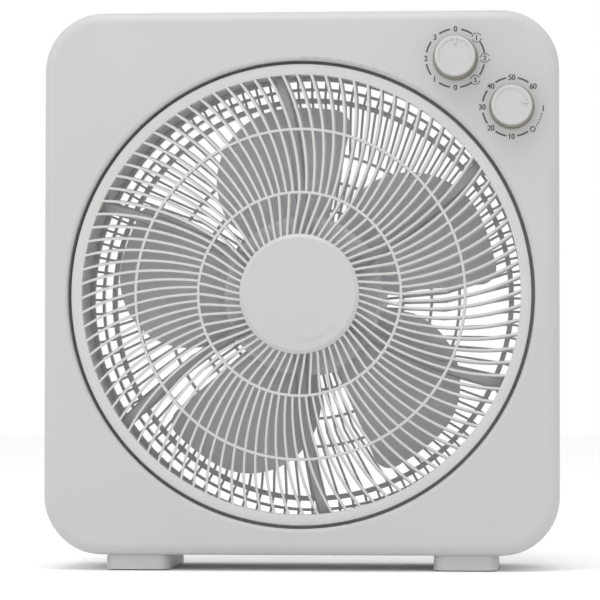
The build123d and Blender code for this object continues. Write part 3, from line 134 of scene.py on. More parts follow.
class FanColours(bpy.types.PropertyGroup):
    """Colours of the fan's finishes, in linear light."""

    shell: FloatVectorProperty(
        name="Shell", description="White of the body", subtype="COLOR", size=3,
        default=(0.455, 0.46, 0.45),
    )
    grille: FloatVectorProperty(
        name="Grille", description="White of the front grille", subtype="COLOR", size=3,
        default=(0.50, 0.50, 0.487),
    )
    rear: FloatVectorProperty(
        name="Rear grille", description="White of the rear grille", subtype="COLOR", size=3,
        default=(0.72, 0.70, 0.71),
    )
    blades: FloatVectorProperty(
        name="Blades", description="Grey of the impeller", subtype="COLOR", size=3,
        default=(0.74, 0.72, 0.76),
    )
    knob: FloatVectorProperty(
        name="Knob", description="White of the knobs and the cap", subtype="COLOR", size=3,
        default=(0.46, 0.465, 0.455),
    )
    spider: FloatVectorProperty(
        name="Spider", description="Grey-white of the static spider", subtype="COLOR", size=3,
        default=(0.50, 0.49, 0.505),
    )
    # Painted shade: a darker colour for the white knobs' fluted sides, standing in for the shade
    # that falls on them.
    knob_side_shade: FloatVectorProperty(
        name="Knob side", description="Darker tone of the knobs' fluted sides",
        subtype="COLOR", size=3, default=(0.26, 0.24, 0.20),
    )
    print_ink: FloatVectorProperty(
        name="Print", description="Dark grey of the dial print", subtype="COLOR", size=3,
        default=(0.07, 0.068, 0.06),
    )


# ---------------------------------------------------------------- materials

# Depths behind the knob face over which the painted shade of the knob sides fades in.
SIDE_SHADE_START = 1.1 * MM
SIDE_SHADE_END = 1.9 * MM


def new_material(name):
    """Empty node material and its shader."""
    material = bpy.data.materials.new(name)
    material.use_nodes = True
    shader = material.node_tree.nodes["Principled BSDF"]
    return material, shader


def add_node(material, kind, **values):
    """One node with its input values set by name."""
    node = material.node_tree.nodes.new(kind)
    for key, value in values.items():
        node.inputs[key.replace("_", " ")].default_value = value
    return node


def mix_colours(material, factor, dark, light):
    """Colour between two, by a factor socket."""
    mix = material.node_tree.nodes.new("ShaderNodeMix")
    mix.data_type = "RGBA"
    mix.inputs["A"].default_value = (*dark, 1.0)
    mix.inputs["B"].default_value = (*light, 1.0)
    material.node_tree.links.new(factor, mix.inputs["Factor"])
    return mix.outputs["Result"]


def scaled_range(material, value, low, high):
    """Value from 0..1 brought to low..high."""
    node = material.node_tree.nodes.new("ShaderNodeMapRange")
    node.inputs["To Min"].default_value = low
    node.inputs["To Max"].default_value = high
    material.node_tree.links.new(value, node.inputs["Value"])
    return node.outputs["Result"]


def add_bump(material, shader, height, strength, distance):
    """Fine relief on the shader, from a height socket."""
    bump = add_node(material, "ShaderNodeBump", Strength=strength, Distance=distance)
    material.node_tree.links.new(height, bump.inputs["Height"])
    material.node_tree.links.new(bump.outputs["Normal"], shader.inputs["Normal"])


def moulded(name, colour, roughness=0.42, grain=0.05, tint=0.03, specular=0.45):
    """Moulded plastic: faint mottling, uneven gloss and a fine spark-eroded grain."""
    material, shader = new_material(name)
    tree = material.node_tree
    place = tree.nodes.new("ShaderNodeTexCoord")
    cloud = add_node(material, "ShaderNodeTexNoise", Scale=14.0, Detail=3.0)
    skin = add_node(material, "ShaderNodeTexNoise", Scale=1600.0, Detail=2.0, Roughness=0.6)
    gloss = add_node(material, "ShaderNodeTexNoise", Scale=60.0, Detail=4.0)
    for texture in (cloud, skin, gloss):
        tree.links.new(place.outputs["Object"], texture.inputs["Vector"])
    dark = [c * (1 - tint) for c in colour]
    light = [min(c * (1 + tint), 1.0) for c in colour]
    mottled = mix_colours(material, cloud.outputs["Fac"], dark, light)
    tree.links.new(mottled, shader.inputs["Base Color"])
    uneven = scaled_range(material, gloss.outputs["Fac"], roughness - 0.06, roughness + 0.06)
    tree.links.new(uneven, shader.inputs["Roughness"])
    add_bump(material, shader, skin.outputs["Fac"], grain, 0.2 * MM)
    shader.inputs["Specular IOR Level"].default_value = specular
    return material


def shaded_side_plastic(name, face, side):
    """Moulded plastic with painted shade: its sides, behind the front rim, get a darker colour.
    """
    material = moulded(name, face, roughness=0.36, grain=0.03)
    tree = material.node_tree
    shader = tree.nodes["Principled BSDF"]
    face_colour = shader.inputs["Base Color"].links[0].from_socket
    place = next(node for node in tree.nodes if node.type == "TEX_COORD")
    split = tree.nodes.new("ShaderNodeSeparateXYZ")
    tree.links.new(place.outputs["Object"], split.inputs["Vector"])
    # Painted shade: the colour turns from the face colour to the darker side colour just behind
    # the knob face.
    edge = tree.nodes.new("ShaderNodeMapRange")
    edge.inputs["From Min"].default_value = KNOB_FACE_Y + SIDE_SHADE_START
    edge.inputs["From Max"].default_value = KNOB_FACE_Y + SIDE_SHADE_END
    tree.links.new(split.outputs["Y"], edge.inputs["Value"])
    blend = mix_colours(material, edge.outputs["Result"], face, side)
    mix = blend.node
    tree.links.new(face_colour, mix.inputs["A"])
    tree.links.new(blend, shader.inputs["Base Color"])
    return material


def rubber(name, colour):
    """Matt rubber with a pebbled skin."""
    return moulded(name, colour, roughness=0.78, grain=0.35, tint=0.12, specular=0.25)


def metal(name, colour, roughness, stretch=(1.0, 40.0, 1.0), grain=0.08):
    """Turned or drawn metal with fine streaks."""
    material, shader = new_material(name)
    tree = material.node_tree
    place = tree.nodes.new("ShaderNodeTexCoord")
    mapping = tree.nodes.new("ShaderNodeMapping")
    mapping.inputs["Scale"].default_value = stretch
    streaks = add_node(material, "ShaderNodeTexNoise", Scale=120.0, Detail=4.0)
    tree.links.new(place.outputs["Object"], mapping.inputs["Vector"])
    tree.links.new(mapping.outputs["Vector"], streaks.inputs["Vector"])
    dark = [c * 0.86 for c in colour]
    streaked = mix_colours(material, streaks.outputs["Fac"], dark, colour)
    tree.links.new(streaked, shader.inputs["Base Color"])
    uneven = scaled_range(material, streaks.outputs["Fac"], roughness - 0.08, roughness + 0.1)
    tree.links.new(uneven, shader.inputs["Roughness"])
    add_bump(material, shader, streaks.outputs["Fac"], grain, 0.3 * MM)
    shader.inputs["Metallic"].default_value = 1.0
    return material


def copper_coils(name):
    """Enamelled copper wire, wound in fine turns round the axis."""
    material, shader = new_material(name)
    tree = material.node_tree
    place = tree.nodes.new("ShaderNodeTexCoord")
    mapping = tree.nodes.new("ShaderNodeMapping")
    mapping.inputs["Location"].default_value = (0.0, 0.0, -AXIS.z)
    turns = add_node(material, "ShaderNodeTexWave", Scale=420.0, Distortion=3.0, Detail=2.0)
    turns.wave_type = "RINGS"
    turns.rings_direction = "Y"
    tree.links.new(place.outputs["Object"], mapping.inputs["Vector"])
    tree.links.new(mapping.outputs["Vector"], turns.inputs["Vector"])
    colours = mix_colours(material, turns.outputs["Fac"], (0.20, 0.06, 0.02), (0.62, 0.27, 0.10))
    tree.links.new(colours, shader.inputs["Base Color"])
    add_bump(material, shader, turns.outputs["Fac"], 0.6, 0.4 * MM)
    shader.inputs["Metallic"].default_value = 0.6
    shader.inputs["Roughness"].default_value = 0.35
    return material


def laminations(name):
    """Stacked steel sheets with dark joints between them."""
    material, shader = new_material(name)
    tree = material.node_tree
    place = tree.nodes.new("ShaderNodeTexCoord")
    sheets = add_node(material, "ShaderNodeTexWave", Scale=320.0, Distortion=0.4)
    sheets.bands_direction = "Y"
    tree.links.new(place.outputs["Object"], sheets.inputs["Vector"])
    colours = mix_colours(material, sheets.outputs["Fac"], (0.10, 0.10, 0.11), (0.42, 0.42, 0.44))
    tree.links.new(colours, shader.inputs["Base Color"])
    add_bump(material, shader, sheets.outputs["Fac"], 0.4, 0.3 * MM)
    shader.inputs["Metallic"].default_value = 0.8
    shader.inputs["Roughness"].default_value = 0.5
    return material


MATERIALS = {}


def make_materials(colours):
    """Every finish of the fan, by the record's slot name."""
    MATERIALS.update({
        "white_shell": moulded("white_shell", colours.shell, roughness=0.44),
        "grille_white": moulded("grille_white", colours.grille, roughness=0.36, grain=0.02),
        "rear_white": moulded("rear_white", colours.rear, roughness=0.42),
        "impeller_grey": moulded("impeller_grey", colours.blades, roughness=0.38, grain=0.02),
        "knob_white": moulded("knob_white", colours.knob, roughness=0.38, grain=0.03),
        "spider_white": moulded("spider_white", colours.spider, roughness=0.4, grain=0.02),
        # The knobs get painted shade on their fluted sides.
        "knob_painted_shade": shaded_side_plastic("knob_painted_shade", colours.knob, colours.knob_side_shade),
        "black_plastic": moulded("black_plastic", (0.035, 0.035, 0.037), roughness=0.5),
        "switch_plastic": moulded("switch_plastic", (0.68, 0.64, 0.54), roughness=0.5),
        "dark_rubber": rubber("dark_rubber", (0.03, 0.03, 0.03)),
        "zinc_steel": metal("zinc_steel", (0.62, 0.63, 0.65), 0.34),
        "shaft_steel": metal("shaft_steel", (0.66, 0.66, 0.68), 0.22, stretch=(1.0, 1.0, 60.0)),
        "bell_aluminium": metal(
            "bell_aluminium", (0.62, 0.63, 0.65), 0.48, stretch=(1.0, 1.0, 1.0), grain=0.3,
        ),
        "lamination_steel": laminations("lamination_steel"),
        "enamelled_copper": copper_coils("enamelled_copper"),
        "bronze": metal("bronze", (0.60, 0.40, 0.18), 0.42),
        "plated_can": metal("plated_can", (0.66, 0.66, 0.64), 0.32),
        "dial_ink": moulded("dial_ink", colours.print_ink, roughness=0.5, grain=0.01),
    })


# ---------------------------------------------------------------- modelling helpers

SLOPE_STEP = 0.2 * MM


def polar(radius, degrees, y, centre=AXIS):
    """Point at a radius and an angle seen from the front, counter-clockwise from +X."""
    angle = math.radians(degrees)
    return Vector((centre.x + radius * math.cos(angle), y, centre.z + radius * math.sin(angle)))


def piece_from(bm, name, material, smooth=32.0):
    """Object from a bmesh, facing outwards and smooth-shaded below an angle."""
    bmesh.ops.recalc_face_normals(bm, faces=bm.faces)
    mesh = bpy.data.meshes.new(name)
    bm.to_mesh(mesh)
    bm.free()
    mesh.polygons.foreach_set("use_smooth", [True] * len(mesh.polygons))
    mesh.set_sharp_from_angle(angle=math.radians(smooth))
    mesh.materials.append(MATERIALS[material])
    piece = bpy.data.objects.new(name, mesh)
    bpy.context.scene.collection.objects.link(piece)
    return piece


def finish_piece(piece, body, slot, *nodes):
    """Mount a piece on its body and hide the CAD nodes it replaces; the slot argument is not
    used.
    """
    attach(piece, body)
    if nodes:
        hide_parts(*nodes)


def turn_profile(bm, points, steps=144):
    """Spin a closed outline of (radius, depth) points round the fan's axis."""
    verts = [bm.verts.new((AXIS.x + radius, y, AXIS.z)) for radius, y in points]
    edges = [bm.edges.new(pair) for pair in zip(verts, verts[1:] + verts[:1])]
    bmesh.ops.spin(
        bm, geom=verts + edges, cent=AXIS, axis=(0, 1, 0), angle=math.tau,
        steps=steps, use_merge=True,
    )


def copies_round(bm, geometry, count):
    """Repeat geometry evenly round the fan's axis."""
    if count < 2:
        return
    bmesh.ops.spin(
        bm, geom=geometry, cent=AXIS, axis=(0, 1, 0),
        angle=math.tau * (count - 1) / count, steps=count - 1, use_duplicate=True,
    )


def all_geometry(bm, old=()):
    """Everything in a bmesh that isn't in an older list."""
    old = set(old)
    return [g for g in [*bm.verts, *bm.edges, *bm.faces] if g not in old]


def stepped_cube(bm, steps):
    """Unit cube cut into equal steps along X, as its corners and edges."""
    before = all_geometry(bm)
    bmesh.ops.create_cube(bm, size=1.0)
    for k in range(1, steps):
        part = all_geometry(bm, before)
        middle = (k / steps - 0.5, 0, 0)
        bmesh.ops.bisect_plane(bm, geom=part, plane_co=middle, plane_no=(1, 0, 0))
    part = all_geometry(bm, before)
    verts = [g for g in part if isinstance(g, bmesh.types.BMVert)]
    edges = [g for g in part if isinstance(g, bmesh.types.BMEdge)]
    return verts, edges


def arc_bar(bm, centre, radius, start, end, width, front, back, steps=14):
    """Bar bent round a centre between two angles, in degrees."""
    verts, _ = stepped_cube(bm, steps)
    for v in verts:
        angle = start + (end - start) * (v.co.x + 0.5)
        y = front + (back - front) * (v.co.y + 0.5)
        v.co = polar(radius + v.co.z * width, angle, y, centre)


def swept_rib(bm, r_from, r_to, steps, angle_at, width, front_at, back_at, tilt, rounding):
    """One rib along angle_at(radius), with rounded front edges, between two depths."""
    before = all_geometry(bm)
    verts, edges = stepped_cube(bm, steps)
    front_edges = [
        e for e in edges
        if all(v.co.y < 0 for v in e.verts) and abs(e.verts[0].co.z - e.verts[1].co.z) < 0.01
    ]
    for v in verts:
        radius = r_from + (r_to - r_from) * (v.co.x + 0.5)
        point = polar(radius, angle_at(radius), 0)
        inside, outside = radius - SLOPE_STEP, radius + SLOPE_STEP
        ahead = polar(outside, angle_at(outside), 0) - polar(inside, angle_at(inside), 0)
        across = Vector((-ahead.z, 0, ahead.x)).normalized()
        front, back = front_at(radius), back_at(radius)
        depth = (v.co.y + 0.5) * (back - front)
        lean = depth * math.tan(tilt)
        v.co = point + across * (v.co.z * width - lean) + Vector((0, front + depth, 0))
    bmesh.ops.bevel(
        bm, geom=front_edges, offset=rounding, offset_type="OFFSET", segments=2,
        profile=0.5, affect="EDGES", material=-1,
    )
    return all_geometry(bm, before)


# ---------------------------------------------------------------- front grille

RIM_SETBACK = 3.0 * MM
RIM_DEPTH = 8.5 * MM
RIM_WALL = 2.0 * MM
RIM_SOFT = 0.7 * MM
RIM_Y = PANEL_Y + RIM_SETBACK
DOME_HEIGHT = 9.0 * MM
SWIRL_POWER = 1.55
RIM_SWIRL = 8.4
CAP_SWIRL = 5.7
RIB_ROUNDING = 0.35 * MM
RIB_LAP_RIM = 0.8 * MM
RIB_LAP_CAP = 0.4 * MM
RIB_DEPTH = 4.0 * MM
RIB_DEEPENING = 3.4 * MM
RING_PROUD = 0.25 * MM
RING_DEEPER = 0.3 * MM
DISC_THICKNESS = 2.2 * MM
DISC_LAP = 0.5 * MM
DRIVE_HOLE = 8.1 * MM
SLOT_INNER = 29.5 * MM
SLOT_OUTER = 33.5 * MM
WINDOW_OUTER = 36.5 * MM
BRIDGE_LAP = 0.1 * MM
NUB_RADIUS = 0.9 * MM
NUB_SETBACK = 1.5 * MM


def dome_front(radius):
    """Depth of the dome's front at a radius."""
    rim = RIM_OUTER - bpy.context.scene.fan_sizes.rim_width
    return RIM_Y - DOME_HEIGHT + DOME_HEIGHT * (radius / rim) ** 2


def dome_back(radius):
    """Depth of the ribs' rear edges, which deepen towards the rim."""
    rim = RIM_OUTER - bpy.context.scene.fan_sizes.rim_width
    return dome_front(radius) + RIB_DEPTH + RIB_DEEPENING * (radius / rim) ** 2


def outer_swirl(radius):
    """Angle of an outer rib at a radius."""
    sizes = bpy.context.scene.fan_sizes
    rim = RIM_OUTER - sizes.rim_width
    share = max(radius - sizes.ring_inner, 0) / (rim - sizes.ring_inner)
    return RIM_SWIRL * share ** SWIRL_POWER


def inner_swirl(radius):
    """Angle of an inner rib at a radius."""
    sizes = bpy.context.scene.fan_sizes
    share = max(sizes.ring_inner - radius, 0) / (sizes.ring_inner - CAP_RADIUS)
    return CAP_SWIRL * share ** SWIRL_POWER


def soft_front(low, high, front, soft):
    """Front outline of a bar with rounded corners, from its inner to its outer radius."""
    return [
        (low, front + soft),
        (low + soft * 0.3, front + soft * 0.3),
        (low + soft, front),
        (high - soft, front),
        (high - soft * 0.3, front + soft * 0.3),
        (high, front + soft),
    ]


def round_bar(bm, radius, width, front, back):
    """Ring with rounded front edges."""
    low, high = radius - width / 2, radius + width / 2
    turn_profile(bm, [*soft_front(low, high, front, width * 0.32), (high, back), (low, back)])


def add_ribs(bm, sizes):
    """Outer and inner ribs, each row repeated round the axis."""
    rows = (
        (sizes.ring_inner, RIM_OUTER - sizes.rim_width + RIB_LAP_RIM, 12, outer_swirl,
         sizes.outer_ribs),
        (CAP_RADIUS - RIB_LAP_CAP, sizes.ring_inner, 6, inner_swirl, sizes.inner_ribs),
    )
    for low, high, steps, swirl, count in rows:
        rib = swept_rib(
            bm, low, high, steps, swirl, sizes.rib_width, dome_front, dome_back,
            sizes.rib_tilt, RIB_ROUNDING,
        )
        copies_round(bm, rib, count)


def add_rings(bm, sizes):
    """Two rings that carry the ribs, and the hollow rim."""
    for radius in (sizes.ring_middle, sizes.ring_inner):
        front, back = dome_front(radius) - RING_PROUD, dome_back(radius) + RING_DEEPER
        round_bar(bm, radius, sizes.ring_width, front, back)
    inner = RIM_OUTER - sizes.rim_width
    turn_profile(bm, [
        *soft_front(inner, RIM_OUTER, RIM_Y, RIM_SOFT),
        (RIM_OUTER, RIM_Y + RIM_DEPTH),
        (RIM_OUTER - RIM_WALL, RIM_Y + RIM_DEPTH),
        (RIM_OUTER - RIM_WALL, RIM_Y + RIM_WALL),
        (inner + RIM_WALL, RIM_Y + RIM_WALL),
        (inner + RIM_WALL, RIM_Y + RIM_DEPTH),
        (inner, RIM_Y + RIM_DEPTH),
    ], steps=192)


def add_hub_disc(bm):
    """Disc behind the cap, with the drive hole and the lock lugs' slots."""
    back = dome_back(CAP_RADIUS)
    front = back - DISC_THICKNESS
    for low, high in ((DRIVE_HOLE, SLOT_INNER), (WINDOW_OUTER, CAP_RADIUS + DISC_LAP)):
        turn_profile(bm, [(low, front), (high, front), (high, back), (low, back)])
    bridges = ((SLOT_INNER, 63, 176, 24), (SLOT_OUTER, -4.5, 41, 14))
    for turn in (0, 180):
        for low, start, end, steps in bridges:
            width = WINDOW_OUTER - low + BRIDGE_LAP
            arc_bar(
                bm, AXIS, (low + WINDOW_OUTER) / 2, turn + start, turn + end, width,
                front, back, steps=steps,
            )


class BOXFAN_OT_front_grille(bpy.types.Operator):
    """Domed front grille with swirling louvre ribs"""

    bl_idname = "box_fan.front_grille"
    bl_label = "Front Grille"

    def execute(self, context):
        sizes = context.scene.fan_sizes
        bm = bmesh.new()
        add_ribs(bm, sizes)
        add_rings(bm, sizes)
        add_hub_disc(bm)
        for angle in (90, 270):
            nub = Matrix.Translation(polar(RIM_OUTER - NUB_RADIUS, angle, RIM_Y + NUB_SETBACK))
            bmesh.ops.create_icosphere(bm, subdivisions=2, radius=NUB_RADIUS, matrix=nub)
        piece = piece_from(bm, "front_grille_moulding", "grille_white", smooth=40.0)
        finish_piece(piece, SWIRL, "grille_white", "rotating_grille")
        return {"FINISHED"}


# ---------------------------------------------------------------- printed dials and cap marks

FACING_FRONT = Matrix.Rotation(math.radians(90), 4, "X")
PRINT_BACK = 0.03 * MM
PRINT_PROUD = 0.08 * MM
MARK_RELIEF = 0.18 * MM
SPEED_MARKS = (("0", 90, False), ("1", 44, True), ("2", 0, True), ("3", -48, True),
               ("0", -90, False), ("1", -135, False), ("2", 180, False), ("3", 134, False))
TIMER_MARKS = (("50", 90), ("60", 44), ("10", -90), ("20", -135), ("30", 180), ("40", 135))
TIMER_ON = -3
TIMER_OFF = -47
LETTER_EXTRUDE = 0.02
LETTER_BOLDNESS = 0.012
LETTER_NARROWING = 0.92
SMALL_NUMERAL = 0.9
BOLD_STEP = 0.13 * MM
DASH_HALF_ANGLE = 11.5
DASH_WIDTH = 1.3 * MM
SWIRL_SIGN_STARTS = (22, 202)
SWIRL_SIGN_SPAN = 136
SWIRL_SIGN_RADIUS = 3.5 * MM
SWIRL_SIGN_WIDTH = 0.55 * MM
ARROW_TIP_AT = 140
ARROW_TIP_TURN = 50
ARROW_TIP_RADIUS = 0.75 * MM
MINUTES_OUT = 0.1 * MM
ON_BAR_OUT = 1.4 * MM
ON_BAR_WIDTH = 0.95 * MM
OFF_RING_OUT = 0.8 * MM
OFF_RING_RADIUS = 1.8 * MM
OFF_RING_WIDTH = 0.85 * MM
DOTS_OUT = 1.0 * MM
DOT_COUNT = 5
DOT_RADIUS = 0.62 * MM
DOT_START = 11.0
DOT_PITCH = 5.6
TURN_ARROW_RADIUS = 36.0 * MM
TURN_ARROW_ANGLES = (-88, -57)
TURN_ARROW_WIDTH = 0.45 * MM
TURN_ARROW_TIP_AT = -88.5
TURN_ARROW_TIP_RADIUS = 0.9 * MM
LOCK_SIGNS = ((-96, 0.0), (-48, 1.1 * MM))
LOCK_SIGN_RADIUS = 35.5 * MM
LOCK_BODY_WIDTH = 3.0 * MM
LOCK_BODY_HEIGHT = 2.3 * MM
LOCK_LOOP_RISE = 1.2 * MM
LOCK_LOOP_RADIUS = 1.05 * MM
LOCK_LOOP_WIDTH = 0.4 * MM


def flat_disc(bm, centre, radius, front, back, segments=24, turn=0.0):
    """Small raised disc, or a triangle with three segments, facing the front."""
    place = Matrix.Translation((centre.x, (front + back) / 2, centre.z))
    place = place @ Matrix.Rotation(math.radians(-turn), 4, "Y") @ FACING_FRONT
    bmesh.ops.create_cone(
        bm, cap_ends=True, segments=segments, radius1=radius, radius2=radius,
        depth=abs(back - front), matrix=place,
    )


def flat_bar(bm, centre, width, height, front, back):
    """Small raised upright bar facing the front."""
    place = Matrix.Translation((centre.x, (front + back) / 2, centre.z))
    size = Matrix.Diagonal((width, abs(back - front), height, 1.0))
    bmesh.ops.create_cube(bm, size=1.0, matrix=place @ size)


def print_number(bm, text, centre, height, front):
    """Upright number, centred on a point and facing the front."""
    curve = bpy.data.curves.new("number", "FONT")
    curve.body = text
    curve.align_x, curve.align_y = "CENTER", "CENTER"
    curve.extrude = LETTER_EXTRUDE
    curve.offset = LETTER_BOLDNESS
    letters = bpy.data.objects.new("number", curve)
    bpy.context.scene.collection.objects.link(letters)
    bpy.context.view_layer.update()
    mesh = bpy.data.meshes.new_from_object(letters)
    bpy.data.objects.remove(letters)
    ys = [v.co.y for v in mesh.vertices]
    xs = [v.co.x for v in mesh.vertices]
    middle = Vector(((min(xs) + max(xs)) / 2, (min(ys) + max(ys)) / 2, 0))
    scale = height / (max(ys) - min(ys))
    depth = PRINT_PROUD + PRINT_BACK
    thick = depth / (2 * LETTER_EXTRUDE)
    fit = Matrix.Diagonal((scale * LETTER_NARROWING, scale, thick, 1.0))
    fit = fit @ Matrix.Translation(-middle)
    place = Matrix.Translation((centre.x, front + depth / 2, centre.z))
    mesh.transform(place @ FACING_FRONT @ fit)
    bm.from_mesh(mesh)
    bpy.data.meshes.remove(mesh)


def print_bold_number(bm, text, centre, height, front):
    """Number thickened sideways by three close prints."""
    for step in (-1, 0, 1):
        spot = centre + Vector((step * BOLD_STEP, 0, 0))
        print_number(bm, text, spot, height, front - step * 0.004 * MM)


def add_dashes(bm, centre, sizes, marks, front, back):
    """Short arcs midway between neighbouring marks."""
    for low, high in zip(marks, marks[1:]):
        middle = (low + high) / 2
        arc_bar(
            bm, centre, sizes.dial_radius, middle - DASH_HALF_ANGLE, middle + DASH_HALF_ANGLE,
            DASH_WIDTH, front, back,
        )


def add_speed_scale(bm, sizes, front, back):
    """Two runs of speeds; in one each numeral stands in a sign for the turning grille."""
    centre = node_middle("speed_knob")
    for text, angle, signed in SPEED_MARKS:
        spot = polar(sizes.dial_radius, angle, front, centre)
        height = sizes.numeral_height * (SMALL_NUMERAL if signed else 1.0)
        print_bold_number(bm, text, spot, height, front)
        for start in SWIRL_SIGN_STARTS if signed else ():
            arc_bar(
                bm, spot, SWIRL_SIGN_RADIUS, start, start + SWIRL_SIGN_SPAN, SWIRL_SIGN_WIDTH,
                front, back,
            )
            tip = polar(SWIRL_SIGN_RADIUS, start + ARROW_TIP_AT, front, spot)
            turn = start + ARROW_TIP_TURN
            flat_disc(bm, tip, ARROW_TIP_RADIUS, front, back, segments=3, turn=turn)
    marks = (90, 44, 0, -48, -90, -135, -180, -226, -270)
    add_dashes(bm, centre, sizes, marks, front, back)


def add_timer_scale(bm, sizes, front, back):
    """Minutes, a bar for on, a ring for off and a row of dots between the two."""
    centre = node_middle("timer_knob")
    for text, angle in TIMER_MARKS:
        spot = polar(sizes.dial_radius + MINUTES_OUT, angle, front, centre)
        print_bold_number(bm, text, spot, sizes.numeral_height, front)
    marks = (44, 90, 135, 180, 225, 270, 360 + TIMER_OFF)
    add_dashes(bm, centre, sizes, marks, front, back)
    spot = polar(sizes.dial_radius + ON_BAR_OUT, TIMER_ON, front, centre)
    flat_bar(bm, spot, ON_BAR_WIDTH, sizes.numeral_height, front, back)
    spot = polar(sizes.dial_radius + OFF_RING_OUT, TIMER_OFF, front, centre)
    arc_bar(bm, spot, OFF_RING_RADIUS, 0, 360, OFF_RING_WIDTH, front, back, steps=32)
    for k in range(DOT_COUNT):
        angle = TIMER_ON - DOT_START - DOT_PITCH * k
        spot = polar(sizes.dial_radius + DOTS_OUT, angle, front, centre)
        flat_disc(bm, spot, DOT_RADIUS, front, back)


class BOXFAN_OT_dials(bpy.types.Operator):
    """Printed scales of the speed switch and the timer"""

    bl_idname = "box_fan.dials"
    bl_label = "Dial Prints"

    def execute(self, context):
        sizes = context.scene.fan_sizes
        front, back = PANEL_Y - PRINT_PROUD, PANEL_Y + PRINT_BACK
        bm = bmesh.new()
        add_speed_scale(bm, sizes, front, back)
        add_timer_scale(bm, sizes, front, back)
        piece = piece_from(bm, "dial_prints", "dial_ink", smooth=30.0)
        finish_piece(piece, HOUSING, None)
        return {"FINISHED"}


class BOXFAN_OT_cap_marks(bpy.types.Operator):
    """Low-relief lock and unlock marks on the centre cap"""

    bl_idname = "box_fan.cap_marks"
    bl_label = "Cap Marks"

    def execute(self, context):
        front, back = CAP_FACE_Y - MARK_RELIEF, CAP_FACE_Y + PRINT_BACK
        bm = bmesh.new()
        arc_bar(
            bm, AXIS, TURN_ARROW_RADIUS, *TURN_ARROW_ANGLES, TURN_ARROW_WIDTH, front, back,
        )
        tip = polar(TURN_ARROW_RADIUS, TURN_ARROW_TIP_AT, front)
        flat_disc(bm, tip, TURN_ARROW_TIP_RADIUS, front, back, segments=3)
        for angle, aside in LOCK_SIGNS:
            spot = polar(LOCK_SIGN_RADIUS, angle, front)
            flat_bar(bm, spot, LOCK_BODY_WIDTH, LOCK_BODY_HEIGHT, front, back)
            loop = Vector((spot.x + aside, front, spot.z + LOCK_LOOP_RISE))
            arc_bar(bm, loop, LOCK_LOOP_RADIUS, 0, 180, LOCK_LOOP_WIDTH, front, back)
        piece = piece_from(bm, "cap_lock_marks", CAP_SLOT, smooth=30.0)
        finish_piece(piece, CAP, CAP_SLOT)
        return {"FINISHED"}


# ---------------------------------------------------------------- CAD finishes

SPECIAL_FINISHES = {
    "front_spider": "spider_white",
    "grille_motor_cover": "spider_white",
    # The knobs take the finish with painted shade on their sides.
    "speed_knob": "knob_painted_shade",
    "timer_knob": "knob_painted_shade",
}


class BOXFAN_OT_finishes(bpy.types.Operator):
    """Put the moulded, metal and rubber finishes on the CAD nodes"""

    bl_idname = "box_fan.finishes"
    bl_label = "Finishes"

    def execute(self, context):
        make_materials(context.scene.fan_colours)
        for name, node in frame["nodes"].items():
            node.data.materials.clear()
            node.data.materials.append(MATERIALS[SPECIAL_FINISHES.get(name, SLOTS[name])])
        return {"FINISHED"}


# ---------------------------------------------------------------- stage

FLOOR_HALF_WIDTH = 6.0
LIGHT_AIM = Vector((0.0, 0.0, 0.21))
LIGHTS = (
    ("left_softbox", (-1.4, -1.3, 1.1), (0.9, 1.2), 5.0),
    ("right_softbox", (1.5, -0.9, 0.5), (0.8, 1.2), 1.0),
    ("top_softbox", (-0.1, -0.6, 1.7), (1.2, 0.8), 10.0),
)
SENSOR_WIDTH = 36.0
PICTURE_WIDTH = 455.8 * MM
CAMERA_DISTANCE = 1.9
CAMERA_SIDE = 0.18
CAMERA_DROP = 0.075
CAMERA_SHIFT = 0.15
CAMERA_RISE = 0.04
AIM = Vector((0.45 * MM, 0.0, 206.3 * MM))


def add_light(name, place, size, power):
    """Large soft area light that faces the fan."""
    data = bpy.data.lights.new(name, "AREA")
    data.shape = "RECTANGLE"
    data.size, data.size_y = size
    data.energy = power
    light = bpy.data.objects.new(name, data)
    light.location = place
    light.rotation_euler = (LIGHT_AIM - Vector(place)).to_track_quat("-Z", "Y").to_euler()
    bpy.context.scene.collection.objects.link(light)


def add_world():
    """Even white surroundings."""
    world = bpy.data.worlds.new("white_room")
    world.use_nodes = True
    sky = world.node_tree.nodes["Background"]
    sky.inputs["Color"].default_value = (1, 1, 1, 1)
    sky.inputs["Strength"].default_value = 1.0
    bpy.context.scene.world = world


def add_floor():
    """Wide matt floor under the feet."""
    bm = bmesh.new()
    bmesh.ops.create_grid(bm, x_segments=2, y_segments=2, size=FLOOR_HALF_WIDTH)
    mesh = bpy.data.meshes.new("floor")
    bm.to_mesh(mesh)
    bm.free()
    material, shader = new_material("floor_white")
    shader.inputs["Base Color"].default_value = (0.96, 0.96, 0.96, 1)
    shader.inputs["Roughness"].default_value = 0.9
    mesh.materials.append(material)
    floor = bpy.data.objects.new("floor", mesh)
    bpy.context.scene.collection.objects.link(floor)


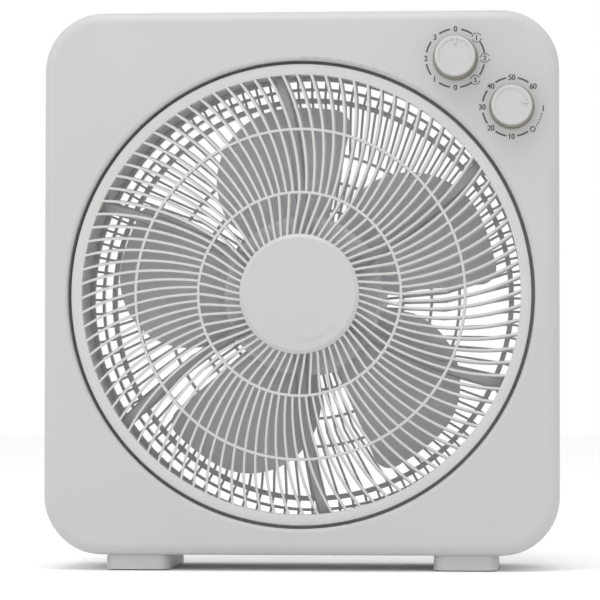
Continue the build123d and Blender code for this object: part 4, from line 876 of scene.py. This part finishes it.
def add_camera():
    """Camera just right of the axis, shifted so that the fan stands in the middle."""
    data = bpy.data.cameras.new("camera")
    data.sensor_width = SENSOR_WIDTH
    camera = bpy.data.objects.new("camera", data)
    camera.location = (CAMERA_SIDE, PANEL_Y - CAMERA_DISTANCE, AXIS.z - CAMERA_DROP)
    seen = Vector((
        AIM.x + CAMERA_SHIFT * PICTURE_WIDTH, PANEL_Y, AIM.z - CAMERA_RISE * PICTURE_WIDTH,
    ))
    towards = seen - camera.location
    camera.rotation_euler = towards.to_track_quat("-Z", "Y").to_euler()
    data.lens = SENSOR_WIDTH * towards.length / PICTURE_WIDTH
    data.shift_x = -CAMERA_SHIFT
    data.shift_y = CAMERA_RISE
    data.clip_start = 0.05
    bpy.context.scene.collection.objects.link(camera)
    bpy.context.scene.camera = camera


class BOXFAN_OT_stage(bpy.types.Operator):
    """Pale floor, soft studio light and the camera"""

    bl_idname = "box_fan.stage"
    bl_label = "Stage"

    def execute(self, context):
        context.scene.view_settings.view_transform = "Standard"
        add_world()
        add_floor()
        for light in LIGHTS:
            add_light(*light)
        add_camera()
        return {"FINISHED"}


# ---------------------------------------------------------------- panel and registration

STEPS = (
    BOXFAN_OT_finishes,
    BOXFAN_OT_front_grille,
    BOXFAN_OT_dials,
    BOXFAN_OT_cap_marks,
    BOXFAN_OT_stage,
)


class BOXFAN_PT_sidebar(bpy.types.Panel):
    """Lists the fan's building steps in the 3D view's sidebar"""

    bl_label = "Box Fan"
    bl_idname = "BOXFAN_PT_sidebar"
    bl_space_type = "VIEW_3D"
    bl_region_type = "UI"
    bl_category = "Box Fan"

    def draw(self, context):
        for step in STEPS:
            self.layout.operator(step.bl_idname)


CLASSES = (FanSizes, FanColours, *STEPS, BOXFAN_PT_sidebar)


def register():
    """Register the classes and their settings."""
    for cls in CLASSES:
        bpy.utils.register_class(cls)
    bpy.types.Scene.fan_sizes = PointerProperty(type=FanSizes)
    bpy.types.Scene.fan_colours = PointerProperty(type=FanColours)


def unregister():
    """Take the settings and classes away again."""
    del bpy.types.Scene.fan_colours
    del bpy.types.Scene.fan_sizes
    for cls in reversed(CLASSES):
        bpy.utils.unregister_class(cls)


def main():
    """Build the fan."""
    register()
    for step in STEPS:
        group, name = step.bl_idname.split(".")
        getattr(getattr(bpy.ops, group), name)()


if __name__ == "__main__":
    main()
